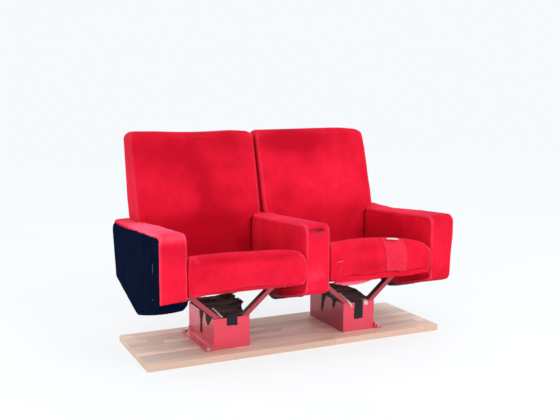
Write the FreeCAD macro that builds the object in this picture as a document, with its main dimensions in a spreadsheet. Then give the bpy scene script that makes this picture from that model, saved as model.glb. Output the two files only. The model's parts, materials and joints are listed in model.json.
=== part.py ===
import FreeCAD, Part
import math
import operator
import os
import Sketcher

# A linked pair of tip-up auditorium seats on a timber board, in millimetres.
# X runs along the row, Y to the back, Z up. The origin is the middle of the board's underside.
# Each seat unit is drawn about its own middle, and its Placement carries it to its place in the row.

V = FreeCAD.Vector

SIZES = [
    ("seat_pitch", 600, "middle of one seat to the middle of the next"),
    ("board_length", 1352, "board along the row"),
    ("board_depth", 441, "board front to back"),
    ("board_thick", 26, "board thickness"),
    ("board_corner", 4, "board corner radius"),
    ("box_width", 158, "pedestal box along the row"),
    ("box_depth", 312, "pedestal box front to back"),
    ("box_height", 128.5, "pedestal box above the board"),
    ("box_middle", 8, "middle of the pedestal box behind the board's middle"),
    ("sheet_thick", 3, "pedestal sheet"),
    ("sheet_bend", 2.5, "outer bend radius of the pedestal front"),
    ("angle_thick", 6, "floor angle wall"),
    ("angle_root", 4, "floor angle inner root radius"),
    ("angle_reach", 36, "floor angle foot, out from the box"),
    ("angle_rise", 27, "floor angle wall, up the box"),
    ("angle_length", 310, "outer floor angle front to back"),
    ("angle_inner_length", 286, "inner floor angle front to back"),
    ("floor_bolt_out", 23, "floor bolt, out from the box wall"),
    ("floor_bolt_spread", 293, "outer floor bolts, front to rear"),
    ("floor_bolt_inner_spread", 220, "inner floor bolts, front to rear"),
    ("floor_bolt_radius", 5, "floor bolt shank radius"),
    ("floor_bolt_grip", 18, "floor bolt depth in the board"),
    ("floor_washer_radius", 10, "floor washer radius"),
    ("floor_washer_thick", 2, "floor washer thickness"),
    ("floor_spare_place", -68, "spare hole in an outer floor angle, from the board's middle"),
    ("bolt_clearance", 0.1, "radial clearance of a bolt in its hole"),
    ("bore_runout", 1, "blind bore beyond a bolt's or pin's tip"),
    ("head_ratio", 1.95, "hexagon circumradius over shank radius"),
    ("head_height_ratio", 1.3, "bolt head height over shank radius"),
    ("strut_slope", 0.87, "rise of a front strut over its run"),
    ("strut_face", 29, "front strut face, measured along the row"),
    ("strut_depth", 30, "front strut front to back"),
    ("strut_wall", 3, "front strut wall"),
    ("strut_flange", 4.5, "front strut flange, measured along the row"),
    ("strut_lap", 3.5, "height at which a strut clears the box rim"),
    ("strut_foot", 30, "lower end of a front strut from the seat's middle"),
    ("bracket_top", 281, "top of the front bracket"),
    ("bracket_thick", 5, "front bracket wall"),
    ("bracket_inner", 184, "front bracket inner end from the seat's middle"),
    ("bracket_depth", 40, "front bracket front to back"),
    ("bracket_rise", 29, "front bracket leg on the armrest"),
    ("frame_bolt_radius", 4, "frame bolt shank radius"),
    ("frame_bolt_length", 52, "frame bolt under its head"),
    ("buffer_radius", 11, "seat stop buffer radius"),
    ("buffer_middle", 204, "stop buffer from the seat's middle"),
    ("buffer_stem", 4, "stop buffer stem radius"),
    ("buffer_stem_short", 0.5, "stop buffer stem short of the bracket's underside"),
    ("buffer_gap", 0.3, "air between stop buffer and seat pan"),
    ("arm_width", 107.4, "armrest along the row"),
    ("arm_front", -328, "armrest front face"),
    ("arm_top_front", 543, "armrest top at the front"),
    ("arm_top_dip", 517.5, "armrest top at its lowest"),
    ("arm_dip_place", 150, "where the armrest top is lowest"),
    ("arm_rear_top", 404, "armrest rear edge at the top"),
    ("arm_top_rear", 524, "armrest top at the rear"),
    ("arm_rear_low", 345, "armrest rear edge at the bottom"),
    ("arm_low_rear", 264, "armrest underside at the rear"),
    ("arm_keel", 174, "armrest underside at its lowest"),
    ("arm_low_front", 262, "armrest underside at the front"),
    ("arm_nose", 35, "armrest upper front radius"),
    ("arm_chin", 28, "armrest lower front radius"),
    ("arm_keel_radius", 80, "armrest keel radius"),
    ("arm_dip_radius", 900, "armrest top dip radius"),
    ("arm_heel", 20, "armrest lower rear radius"),
    ("arm_edge", 13, "armrest edge rounding"),
    ("core_thick", 44, "armrest timber core along the row"),
    ("core_inset", 42, "foam round the timber core"),
    ("keel_clear", 20, "cuts beyond the armrest's sloping underside"),
    ("panel_thick", 6, "end panel on the outer armrest"),
    ("panel_drop", 15, "end panel below the armrest top"),
    ("panel_back", 5, "end panel inside the armrest's rear edge"),
    ("panel_edge", 3, "end panel edge rounding"),
    ("rear_arm_plate", 8, "rear arm plate front to back"),
    ("rear_arm_drop", 58, "rear arm leg inside the box"),
    ("rear_arm_inner", 40, "rear arm leg inner edge from the seat's middle"),
    ("rear_arm_top", 209, "rear arm upper edge at its outer end"),
    ("rear_arm_tip", 6, "rear arm height at its outer end"),
    ("rear_arm_root", 16, "rear arm height above the box rim"),
    ("rear_foot_depth", 30, "rear arm foot front to back"),
    ("rear_foot_reach", 51, "rear arm foot under the armrest"),
    ("rear_bolt_place", 10, "rear arm bolt behind its foot's front edge"),
    ("rear_bolt_reach", 36, "rear arm bolt under the armrest"),
    ("cloth_thick", 2, "dust cloth thickness"),
    ("cloth_lap", 1.5, "dust cloth beyond the box side"),
    ("cloth_gap", 2, "dust cloth from the struts"),
    ("seat_width", 488, "seat cushion along the row"),
    ("seat_front", -345, "seat cushion front face"),
    ("seat_rear", 165, "seat cushion rear face"),
    ("seat_under", 300, "seat cushion underside"),
    ("seat_top_front", 456, "seat cushion profile top at the front"),
    ("seat_fall", 0.141, "fall of the seat cushion over its depth"),
    ("seat_nose", 42, "seat cushion upper front radius"),
    ("seat_lip", 22, "seat cushion lower front radius"),
    ("seat_heel", 26, "seat cushion rear radius"),
    ("seat_shoulder", 432, "seat cushion side line at the front"),
    ("seat_crown", 468, "meeting height of the two crown slopes"),
    ("seat_crown_radius", 1100, "crown radius across the cushion"),
    ("seat_side_radius", 36, "seat cushion top side radius"),
    ("seat_plan_radius", 30, "seat cushion front corner radius in plan"),
    ("seat_rear_plan", 14, "seat cushion rear corner radius in plan"),
    ("pan_thick", 12, "plywood seat pan"),
    ("pan_width", 444, "seat pan along the row"),
    ("pan_front", -250, "seat pan front edge"),
    ("pan_rear", 140, "seat pan rear edge"),
    ("pan_corner", 20, "seat pan corner radius"),
    ("pivot_back", 90, "seat pivot behind the board's middle"),
    ("pivot_height", 268, "seat pivot height"),
    ("pin_radius", 8, "pivot pin radius"),
    ("pin_disc_radius", 22, "pivot pin disc radius"),
    ("pin_disc_thick", 4, "pivot pin disc thickness"),
    ("pin_shank_radius", 6, "pivot pin shank radius in the armrest"),
    ("pin_shank_length", 44, "pivot pin shank length in the armrest"),
    ("bush_gap", 0.05, "running clearance of pin and bush"),
    ("bush_wall", 2, "hinge bush wall"),
    ("hub_wall", 4, "hinge hub wall"),
    ("hub_length", 18, "hinge hub along the row"),
    ("hub_end_gap", 2.5, "air between hub and pin disc"),
    ("hinge_thick", 5, "hinge plate"),
    ("hinge_ear", 2, "hinge ear beyond the hub"),
    ("hinge_foot", 46, "hinge plate foot under the pan"),
    ("hinge_foot_thick", 4, "hinge plate foot thickness"),
    ("hinge_depth", 80, "hinge plate foot front to back"),
    ("hinge_screw_spread", 52, "hinge screws front to rear"),
    ("hinge_screw_radius", 2.5, "hinge screw radius"),
    ("hinge_screw_length", 13, "hinge screw under its head"),
    ("back_front", 197, "backrest front face, lower part"),
    ("back_knee", 522, "height at which the backrest leans back"),
    ("back_lean", 0.248, "lean of the backrest front over its height"),
    ("back_rear_lean", 0.129, "lean of the backrest rear over its height"),
    ("back_bottom", 340, "backrest lower edge"),
    ("back_top", 902, "backrest top"),
    ("back_rear", 338, "backrest rear face, lower part"),
    ("back_shell_thick", 27, "backrest shell thickness"),
    ("back_low_width", 485, "backrest between the armrests"),
    ("back_wing_width", 576, "backrest width just above the armrests"),
    ("back_top_width", 592, "backrest width at the top"),
    ("back_wing_low", 527, "underside of the backrest wings"),
    ("back_chin", 30, "backrest lower front radius"),
    ("back_low_corner", 15, "backrest lower corner radius"),
    ("back_wing_corner", 10, "backrest wing corner radius"),
    ("back_crest", 36, "backrest top front radius"),
    ("back_knee_radius", 260, "backrest knee radius"),
    ("back_top_corner", 36, "backrest upper corner radius"),
    ("back_side_radius", 18, "backrest front side radius"),
    ("shell_edge", 18, "backrest shell rear edge radius"),
    ("back_bracket_thick", 3, "back bracket wall"),
    ("back_bracket_front", 292, "back bracket front edge"),
    ("back_bracket_depth", 40, "back bracket front to back"),
    ("back_bracket_low", 292, "back bracket lower end"),
    ("back_bracket_high", 480, "back bracket upper end"),
    ("back_bracket_foot", 60, "back bracket foot under the backrest"),
]


class Size:
    """A length now, with the sheet expression that gives it."""

    def __init__(self, number, text=None):
        self.number = float(number)
        self.text = text or repr(float(number))

    def __neg__(self):
        return 0 - self


def sized(value):
    return value if isinstance(value, Size) else Size(value)


def rule(sign, work):
    """The forward and reflected forms of one arithmetic sign."""
    def join(first, last):
        first, last = sized(first), sized(last)
        return Size(work(first.number, last.number), f"({first.text} {sign} {last.text})")
    return join, lambda last, first: join(first, last)


Size.__add__, Size.__radd__ = rule("+", operator.add)
Size.__sub__, Size.__rsub__ = rule("-", operator.sub)
Size.__mul__, Size.__rmul__ = rule("*", operator.mul)
Size.__truediv__, Size.__rtruediv__ = rule("/", operator.truediv)


class Sheet:
    """The driving dimensions, written to a spreadsheet and held here by name."""

    def __init__(self, document):
        sheet = document.addObject("Spreadsheet::Sheet", "sizes")
        for row, (alias, number, meaning) in enumerate(SIZES, 1):
            sheet.set(f"A{row}", meaning)
            sheet.set(f"B{row}", str(number))
            sheet.setAlias(f"B{row}", alias)
            setattr(self, alias, Size(number, f"sizes.{alias}"))


doc = FreeCAD.newDocument("tip_up_seat_pair")
size = Sheet(doc)
doc.recompute()

box_top = size.board_thick + size.box_height
box_front = size.box_middle - size.box_depth / 2
box_rear = size.box_middle + size.box_depth / 2
box_side = size.box_width / 2
arm_face = (size.seat_pitch - size.arm_width) / 2
arm_half = size.arm_width / 2
frame_bore = size.frame_bolt_radius + size.bolt_clearance
parts = []


def bind(thing, prop, value):
    thing.setExpression(prop, sized(value).text)


def keep(thing, label, along=0):
    """Names a finished sub-part and carries it along the row."""
    thing.Label = label
    if isinstance(along, Size):
        bind(thing, "Placement.Base.x", along)
    parts.append(thing)
    return thing


def body_named(label):
    return doc.addObject("PartDesign::Body", label)


PLANES = {"x": ("YZ_Plane", 1), "y": ("XZ_Plane", -1), "z": ("XY_Plane", 1)}


def place_sketch(body, axis, level):
    """A sketch square to an axis, at a level along it."""
    role, sign = PLANES[axis]
    sketch = body.newObject("Sketcher::SketchObject", f"{body.Name}_sketch")
    plane = next(item for item in body.Origin.OriginFeatures if item.Role == role)
    sketch.AttachmentSupport = [(plane, "")]
    sketch.MapMode = "FlatFace"
    bind(sketch, "AttachmentOffset.Base.z", sign * sized(level))
    return sketch


def pin_point(sketch, item, end, across, up):
    """Ties one point of a sketch to its place in the sheet."""
    for kind, value in (("DistanceX", across), ("DistanceY", up)):
        number = sized(value).number
        index = sketch.addConstraint(Sketcher.Constraint(kind, -1, 1, item, end, number))
        bind(sketch, f"Constraints[{index}]", value)


def draw_circle(sketch, across, up, radius):
    centre = V(sized(across).number, sized(up).number, 0)
    item = sketch.addGeometry(Part.Circle(centre, V(0, 0, 1), sized(radius).number), False)
    pin_point(sketch, item, 3, across, up)
    index = sketch.addConstraint(Sketcher.Constraint("Radius", item, sized(radius).number))
    bind(sketch, f"Constraints[{index}]", radius)


def corner_arc(before, corner, after, radius):
    """Start, end and arc of the round that touches both runs, and whether it turns left."""
    back, on = (before - corner).normalize(), (after - corner).normalize()
    half = math.acos(max(-1.0, min(1.0, back.dot(on)))) / 2
    reach = radius / math.tan(half)
    first, last = corner + back * reach, corner + on * reach
    centre = corner + (back + on).normalize() * (radius / math.sin(half))
    left = back.cross(on).z < 0
    start, stop = (first, last) if left else (last, first)
    angles = [math.atan2(point.y - centre.y, point.x - centre.x) for point in (start, stop)]
    return first, last, Part.ArcOfCircle(Part.Circle(centre, V(0, 0, 1), radius), *angles), left


def draw_outline(sketch, corners):
    """A closed outline of straight runs; a corner with a third value is rounded to that radius."""
    points = [V(sized(c[0]).number, sized(c[1]).number, 0) for c in corners]
    count = len(points)
    ends, arcs = [], {}
    for i, corner in enumerate(corners):
        if len(corner) == 3:
            first, last, arc, left = corner_arc(points[i - 1], points[i], points[(i + 1) % count],
                                                sized(corner[2]).number)
            ends.append((first, last))
            arcs[i] = (sketch.addGeometry(arc, False), left)
        else:
            ends.append((points[i], points[i]))
    runs = [sketch.addGeometry(Part.LineSegment(ends[i][1], ends[(i + 1) % count][0]), False)
            for i in range(count)]
    for i, corner in enumerate(corners):
        if i not in arcs:
            sketch.addConstraint(Sketcher.Constraint("Coincident", runs[i - 1], 2, runs[i], 1))
            pin_point(sketch, runs[i], 1, corner[0], corner[1])
            continue
        arc, left = arcs[i]
        sketch.addConstraint(Sketcher.Constraint("Tangent", runs[i - 1], 2, arc, 1 if left else 2))
        sketch.addConstraint(Sketcher.Constraint("Tangent", arc, 2 if left else 1, runs[i], 1))
        mark = sketch.addGeometry(Part.Point(points[i]), True)
        sketch.addConstraint(Sketcher.Constraint("PointOnObject", mark, 1, runs[i - 1]))
        sketch.addConstraint(Sketcher.Constraint("PointOnObject", mark, 1, runs[i]))
        pin_point(sketch, mark, 1, corner[0], corner[1])
        index = sketch.addConstraint(Sketcher.Constraint("Radius", arc, sized(corner[2]).number))
        bind(sketch, f"Constraints[{index}]", corner[2])


def feature(body, kind, axis, start, end, corners=None, circles=()):
    """A pad or pocket from one level to another along an axis."""
    sign = PLANES[axis][1]
    sketch = place_sketch(body, axis, start if sign > 0 else end)
    if corners:
        draw_outline(sketch, corners)
    for circle in circles:
        draw_circle(sketch, *circle)
    made = body.newObject(f"PartDesign::{kind}", f"{body.Name}_{kind.lower()}")
    made.Profile = sketch
    made.Reversed = kind == "Pocket"
    bind(made, "Length", sized(end) - start)
    return made


def pad(body, axis, start, end, corners=None, circles=()):
    return feature(body, "Pad", axis, start, end, corners, circles)


def pocket(body, axis, start, end, corners=None, circles=()):
    return feature(body, "Pocket", axis, start, end, corners, circles)


FAR = 3000


def trim(body, axis, level, corners, lean=None):
    """Cuts away all that lies outside an outline, straight through or along a leaning line."""
    sketch = place_sketch(body, axis, level)
    draw_outline(sketch, [(-FAR, -FAR), (FAR, -FAR), (FAR, FAR), (-FAR, FAR)])
    draw_outline(sketch, corners)
    cut = body.newObject("PartDesign::Pocket", f"{body.Name}_trim")
    cut.Profile = sketch
    cut.Midplane = True
    cut.Length = 2 * FAR
    if lean:
        cut.UseCustomVector = True
        cut.Direction = V(*[sized(value).number for value in lean])
        for name, value in zip("xyz", lean):
            bind(cut, f"Direction.{name}", value)
    return cut


def rectangle(low_x, low_y, high_x, high_y, *radius):
    return [(low_x, low_y, *radius), (high_x, low_y, *radius),
            (high_x, high_y, *radius), (low_x, high_y, *radius)]


def span(side, near, far):
    """A stretch on one side of the middle, in rising order."""
    return (near, far) if side > 0 else (-far, -near)


TURNS = {"x": FreeCAD.Rotation(V(0, 1, 0), 90), "-x": FreeCAD.Rotation(V(0, 1, 0), -90),
         "z": FreeCAD.Rotation(), "-z": FreeCAD.Rotation(V(1, 0, 0), 180)}


def rod(name, radius, length, place, way, sides=0):
    """A round or many-sided rod that starts at a place and runs one way."""
    thing = doc.addObject("Part::Prism" if sides else "Part::Cylinder", name)
    bind(thing, "Circumradius" if sides else "Radius", radius)
    bind(thing, "Height", length)
    if sides:
        thing.Polygon = sides
    thing.Placement.Rotation = TURNS[way]
    for axis, value in zip("xyz", place):
        bind(thing, f"Placement.Base.{axis}", value)
    return thing


def stepped(place, axis, sign, distance):
    """A place moved along one axis."""
    moved = list(place)
    moved["xyz".index(axis)] = moved["xyz".index(axis)] + sign * sized(distance)
    return moved


def bolt(name, radius, length, seat, way, washer=None):
    """A hexagon bolt whose head sits at a place and whose shank runs one way from it."""
    axis, sign = way[-1], -1 if way[0] == "-" else 1
    back = way[1:] if sign < 0 else "-" + way
    pieces = []
    head_seat = seat
    if washer:
        pieces.append(rod(f"{name}_washer", washer[0], washer[1], seat, back))
        head_seat = stepped(seat, axis, -sign, washer[1])
    pieces.append(rod(f"{name}_shank", radius, length, seat, way))
    pieces.append(rod(f"{name}_head", radius * size.head_ratio, radius * size.head_height_ratio,
                      head_seat, back, sides=6))
    whole = doc.addObject("Part::MultiFuse", name)
    whole.Shapes = pieces
    return whole


def group(label, things):
    """Like pieces that share one node, as separate solids."""
    whole = doc.addObject("Part::Compound", label)
    whole.Links = things
    return keep(whole, label)


UNITS = (("left", -size.seat_pitch / 2), ("right", size.seat_pitch / 2))
SIDES = ((-1, "left"), (1, "right"))


def outward(unit_name, side):
    """Outer or inner side of a unit: the outer one faces away from the other unit."""
    return "outer" if (unit_name == "left") == (side < 0) else "inner"


def floor_bolt_places(unit_name, middle):
    """Where the floor bolts of one pedestal stand."""
    places = []
    for side, _ in SIDES:
        outer = outward(unit_name, side) == "outer"
        out = box_side + size.floor_bolt_out if outer else box_side - size.sheet_thick - size.floor_bolt_out
        spread = size.floor_bolt_spread if outer else size.floor_bolt_inner_spread
        for end in (-1, 1):
            places.append((middle + side * out, size.box_middle * (0 if outer else 1) + end * spread / 2))
    return places


def base_board():
    body = body_named("base_board")
    half_length, half_depth = size.board_length / 2, size.board_depth / 2
    pad(body, "z", 0, size.board_thick,
        rectangle(-half_length, -half_depth, half_length, half_depth, size.board_corner))
    holes = [(x, y, size.floor_bolt_radius + size.bolt_clearance)
             for name, middle in UNITS for x, y in floor_bolt_places(name, middle)]
    bottom = size.board_thick - size.floor_bolt_grip - size.bore_runout
    pocket(body, "z", bottom, size.board_thick, circles=holes)
    keep(body, "base_board")


def pedestal(name, middle):
    """Four sheet walls round an open top, front and rear lapped over the sides."""
    front = body_named(f"pedestal_front_{name}")
    pad(front, "z", size.board_thick, box_top,
        [(-box_side, box_front, size.sheet_bend), (box_side, box_front, size.sheet_bend),
         (box_side, box_front + size.sheet_thick), (-box_side, box_front + size.sheet_thick)])
    keep(front, f"pedestal_front_{name}", middle)
    rear = body_named(f"pedestal_rear_{name}")
    pad(rear, "z", size.board_thick, box_top,
        [(-box_side, box_rear - size.sheet_thick), (box_side, box_rear - size.sheet_thick),
         (box_side, box_rear, size.sheet_bend), (-box_side, box_rear, size.sheet_bend)])
    keep(rear, f"pedestal_rear_{name}", middle)
    for side, _ in SIDES:
        wall = body_named(f"pedestal_side_{name}_{outward(name, side)}")
        low, high = span(side, box_side - size.sheet_thick, box_side)
        pad(wall, "x", low, high, rectangle(box_front + size.sheet_thick, size.board_thick,
                                            box_rear - size.sheet_thick, box_top))
        keep(wall, f"pedestal_side_{name}_{outward(name, side)}", middle)


def floor_angle(name, middle, side):
    """An angle bolted to the board: outside the box on its outer side, inside on the other."""
    outer = outward(name, side) == "outer"
    wall = side * (box_side if outer else box_side - size.sheet_thick)
    way = side if outer else -side
    length = size.angle_length if outer else size.angle_inner_length
    centre = size.box_middle * (0 if outer else 1)
    foot, rise = wall + way * size.angle_reach, size.board_thick + size.angle_rise
    body = body_named(f"floor_angle_{name}_{outward(name, side)}")
    pad(body, "y", centre - length / 2, centre + length / 2,
        [(wall, size.board_thick), (foot, size.board_thick), (foot, size.board_thick + size.angle_thick),
         (wall + way * size.angle_thick, size.board_thick + size.angle_thick, size.angle_root),
         (wall + way * size.angle_thick, rise), (wall, rise)])
    places = [y for x, y in floor_bolt_places(name, Size(0)) if x.number * side > 0]
    if outer:
        places.append(size.floor_spare_place)
    holes = [(wall + way * size.floor_bolt_out, y, size.floor_bolt_radius + size.bolt_clearance)
             for y in places]
    pocket(body, "z", size.board_thick, size.board_thick + size.angle_thick, circles=holes)
    keep(body, f"floor_angle_{name}_{outward(name, side)}", middle)


def floor_bolts():
    bolts = []
    for name, middle in UNITS:
        for number, (x, y) in enumerate(floor_bolt_places(name, middle), 1):
            seat = (x, y, size.board_thick + size.angle_thick)
            bolts.append(bolt(f"floor_bolt_{name}_{number}", size.floor_bolt_radius,
                              size.angle_thick + size.floor_bolt_grip, seat, "-z",
                              (size.floor_washer_radius, size.floor_washer_thick)))
    group("floor_bolts", bolts)


strut_top = size.bracket_top - size.bracket_thick


def strut_line(level, shift=0):
    """Distance from the seat's middle of a front strut's lower edge at a height."""
    return box_side + (level - box_top - size.strut_lap) / size.strut_slope - shift


def front_strut(name, middle, side):
    """A channel that leans out of the box to the armrest, its web to the front."""
    label = f"front_strut_{name}_{outward(name, side)}"
    body = body_named(label)
    behind = box_front + size.sheet_thick
    foot_low = box_top + size.strut_lap + (size.strut_foot - box_side) * size.strut_slope
    foot_high = foot_low + size.strut_face * size.strut_slope
    pad(body, "y", behind, behind + size.strut_depth,
        [(side * size.strut_foot, foot_low), (side * strut_line(strut_top), strut_top),
         (side * strut_line(strut_top, size.strut_face), strut_top), (side * size.strut_foot, foot_high)])
    inner_low = foot_low + size.strut_flange * size.strut_slope
    inner_high = foot_high - size.strut_flange * size.strut_slope
    roof = strut_top - size.strut_wall
    pocket(body, "y", behind + size.strut_wall, behind + size.strut_depth,
           [(side * size.strut_foot, inner_low), (side * strut_line(roof, size.strut_flange), roof),
            (side * strut_line(roof, size.strut_face - size.strut_flange), roof),
            (side * size.strut_foot, inner_high)])
    keep(body, label, middle)


front_bolt_place = (box_front + size.sheet_thick + size.bracket_depth / 2,
                    size.bracket_top - size.bracket_rise / 2 - size.bracket_thick / 2)


def front_bracket(name, middle, side):
    """An angle from the strut's head to the armrest's inner face, which carries a stop buffer."""
    label = f"front_bracket_{name}_{outward(name, side)}"
    body = body_named(label)
    front = box_front + size.sheet_thick
    leg, leg_low = arm_face - size.bracket_thick, size.bracket_top - size.bracket_rise
    pad(body, "y", front, front + size.bracket_depth,
        [(side * size.bracket_inner, strut_top), (side * leg, strut_top), (side * leg, leg_low),
         (side * arm_face, leg_low), (side * arm_face, size.bracket_top),
         (side * size.bracket_inner, size.bracket_top)])
    low, high = span(side, leg, arm_face)
    pocket(body, "x", low, high, circles=[(*front_bolt_place, frame_bore)])
    pocket(body, "z", strut_top, size.bracket_top,
           circles=[(side * size.buffer_middle, front_bolt_place[0], size.buffer_stem + size.bolt_clearance)])
    keep(body, label, middle)


def stop_buffers():
    """Rubber buttons on the front brackets, which the seat pans come down on."""
    buffers = []
    for name, middle in UNITS:
        for side, _ in SIDES:
            tag = f"stop_buffer_{name}_{outward(name, side)}"
            seat = (middle + side * size.buffer_middle, front_bolt_place[0], size.bracket_top)
            rise = size.seat_under - size.pan_thick - size.buffer_gap - size.bracket_top
            whole = doc.addObject("Part::MultiFuse", tag)
            stem = size.bracket_thick - size.buffer_stem_short
            whole.Shapes = [rod(f"{tag}_button", size.buffer_radius, rise, seat, "z"),
                            rod(f"{tag}_stem", size.buffer_stem, stem, seat, "-z")]
            buffers.append(whole)
    group("stop_buffers", buffers)


rear_plate_front = box_rear - size.sheet_thick - size.rear_arm_plate
rear_foot_front = box_rear - size.sheet_thick - size.rear_foot_depth
rear_bolt_back = rear_foot_front + size.rear_bolt_place
keel_rise = (size.arm_low_rear - size.arm_keel) / size.arm_rear_low


def underside_at(back):
    """Height of the armrest's sloping underside at a distance behind its keel."""
    return size.arm_keel + back * keel_rise


def rear_arm(name, middle, side):
    """A plate arm inside the box's rear wall, out to a wedge foot under the armrest."""
    label = f"rear_arm_{name}_{outward(name, side)}"
    body = body_named(label)
    rear = box_rear - size.sheet_thick
    leg_out = box_side - 2 * size.sheet_thick
    leg_low, foot_low = box_top - size.rear_arm_drop, size.rear_arm_top - size.rear_arm_tip
    foot_out = arm_face + size.rear_foot_reach
    pad(body, "y", rear_plate_front, rear,
        [(side * size.rear_arm_inner, leg_low), (side * leg_out, leg_low),
         (side * leg_out, box_top + size.strut_lap), (side * arm_face, foot_low), (side * foot_out, foot_low),
         (side * foot_out, size.rear_arm_top), (side * arm_face, size.rear_arm_top),
         (side * size.rear_arm_inner, box_top + size.rear_arm_root)])
    low, high = span(side, arm_face, foot_out)
    pad(body, "x", low, high,
        [(rear_foot_front, foot_low), (rear, foot_low), (rear, underside_at(rear)),
         (rear_foot_front, underside_at(rear_foot_front))])
    pocket(body, "z", foot_low, underside_at(rear),
           circles=[(side * (arm_face + size.rear_bolt_reach), rear_bolt_back, frame_bore)])
    keep(body, label, middle)


def dust_cloth(name, middle):
    """Cloth laid over the box's open top, between the front struts and the rear arms."""
    body = body_named(f"dust_cloth_{name}")
    half = box_side + size.cloth_lap
    pad(body, "z", box_top, box_top + size.cloth_thick,
        rectangle(-half, box_front + size.sheet_thick + size.strut_depth + size.cloth_gap,
                  half, rear_plate_front - size.cloth_gap))
    keep(body, f"dust_cloth_{name}", middle)


def arm_outline(front, rear_top, drop=0):
    """Side view of an armrest, with its front and rear edges and how far the top comes down: a nose in
    front, a dipped top and a boat-shaped underside."""
    return [(front, size.arm_low_front, size.arm_chin), (0, size.arm_keel, size.arm_keel_radius),
            (size.arm_rear_low, size.arm_low_rear, size.arm_heel),
            (rear_top, size.arm_top_rear - drop, size.arm_nose),
            (size.arm_dip_place, size.arm_top_dip - drop, size.arm_dip_radius),
            (front, size.arm_top_front - drop, size.arm_nose)]


pin_place = (size.pivot_back, size.pivot_height)
back_bolt_place = (size.back_bracket_front + size.back_bracket_depth / 2,
                   (size.back_bottom + size.back_bracket_low) / 2 - size.back_bracket_thick / 2)


def arm_bores(body, index):
    """Bores for the frame bolts and the pivot pin, from each side that a seat stands on."""
    across = [(*front_bolt_place, size.frame_bolt_length - size.bracket_thick),
              (*back_bolt_place, size.frame_bolt_length - size.back_bracket_thick)]
    for side, _ in SIDES:
        if index and index + side:
            continue
        for y, up, length in across:
            low, high = span(side, arm_half - length - size.bore_runout, arm_half + size.panel_thick)
            pocket(body, "x", low, high, circles=[(y, up, frame_bore)])
        inner = arm_half - size.pin_shank_length - size.bore_runout
        low, high = span(side, inner, arm_half + size.panel_thick)
        pocket(body, "x", low, high, circles=[(*pin_place, size.pin_shank_radius + size.bolt_clearance)])
        foot = underside_at(rear_bolt_back)
        pocket(body, "z", foot - size.keel_clear, foot + size.frame_bolt_length,
               circles=[(side * (arm_half - size.rear_bolt_reach), rear_bolt_back, frame_bore)])


def armrest(name, index):
    """Foam and cover, open below for the timber core."""
    body = body_named(f"armrest_{name}")
    low = size.panel_thick - arm_half if index < 0 else -arm_half
    pad(body, "x", low, arm_half, arm_outline(size.arm_front, size.arm_rear_top))
    doc.recompute()
    block, faces = body.Tip, body.Shape.Faces
    ends = [f"Face{i + 1}" for i, face in enumerate(faces)
            if face.Surface.TypeId == "Part::GeomPlane" and abs(face.normalAt(0, 0).x) > 0.99]
    rounding = body.newObject("PartDesign::Fillet", f"armrest_{name}_edges")
    rounding.Base = (block, ends)
    bind(rounding, "Radius", size.arm_edge)
    doc.recompute()
    pocket(body, "x", -size.core_thick / 2, size.core_thick / 2, core_outline(size.keel_clear))
    doc.recompute()
    arm_bores(body, index)
    keep(body, f"armrest_{name}", index * size.seat_pitch if index else 0)


def core_outline(below=0):
    """Side view of the timber core: the armrest's own, less the foam, level with its underside."""
    inset = size.core_inset
    front, rear = size.arm_front + inset, size.arm_rear_low - inset
    front_rise = (size.arm_low_front - size.arm_keel) / (0 - size.arm_front)
    return [(front, size.arm_keel - front * front_rise - below), (0, size.arm_keel - below),
            (rear, underside_at(rear) - below), (rear, size.arm_top_dip - inset, size.arm_heel),
            (front, size.arm_top_dip - inset, size.arm_heel)]


def armrest_core(name, index):
    body = body_named(f"armrest_core_{name}")
    pad(body, "x", -size.core_thick / 2, size.core_thick / 2, core_outline())
    arm_bores(body, index)
    keep(body, f"armrest_core_{name}", index * size.seat_pitch if index else 0)


def end_panel():
    """The flat panel on the outer side of the left armrest."""
    body = body_named("end_panel_left")
    outline = arm_outline(size.arm_front + size.panel_edge, size.arm_rear_top - size.panel_back,
                          size.panel_drop)
    pad(body, "x", -arm_half, -arm_half + size.panel_thick, outline)
    keep(body, "end_panel_left", -size.seat_pitch)


def seat_cushion(name, middle):
    """Side profile, trimmed by the crowned front view along the fall and by the plan."""
    body = body_named(f"seat_cushion_{name}")
    half = size.seat_width / 2
    depth = size.seat_rear - size.seat_front
    pad(body, "x", -half, half,
        [(size.seat_front, size.seat_under, size.seat_lip),
         (size.seat_rear, size.seat_under, size.seat_heel),
         (size.seat_rear, size.seat_top_front - depth * size.seat_fall, size.seat_heel),
         (size.seat_front, size.seat_top_front, size.seat_nose)])
    trim(body, "y", size.seat_front,
         [(-half, -2 * size.seat_under), (half, -2 * size.seat_under),
          (half, size.seat_shoulder, size.seat_side_radius), (0, size.seat_crown, size.seat_crown_radius),
          (-half, size.seat_shoulder, size.seat_side_radius)], (0, 1, -size.seat_fall))
    trim(body, "z", 0,
         [(-half, size.seat_front, size.seat_plan_radius), (half, size.seat_front, size.seat_plan_radius),
          (half, size.seat_rear, size.seat_rear_plan), (-half, size.seat_rear, size.seat_rear_plan)])
    keep(body, f"seat_cushion_{name}", middle)


pan_low = size.seat_under - size.pan_thick


def hinge_screw_places():
    """Where the hinge screws of one seat stand, from its middle."""
    out = hub_outer_end - size.hub_length / 2 - size.hinge_thick / 2 - size.hinge_foot / 2
    return [(side * out, size.pivot_back + end * size.hinge_screw_spread / 2)
            for side, _ in SIDES for end in (-1, 1)]


hub_outer_end = arm_face - size.pin_disc_thick - size.hub_end_gap
bore_radius = size.pin_radius + size.bush_gap + size.bush_wall


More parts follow.
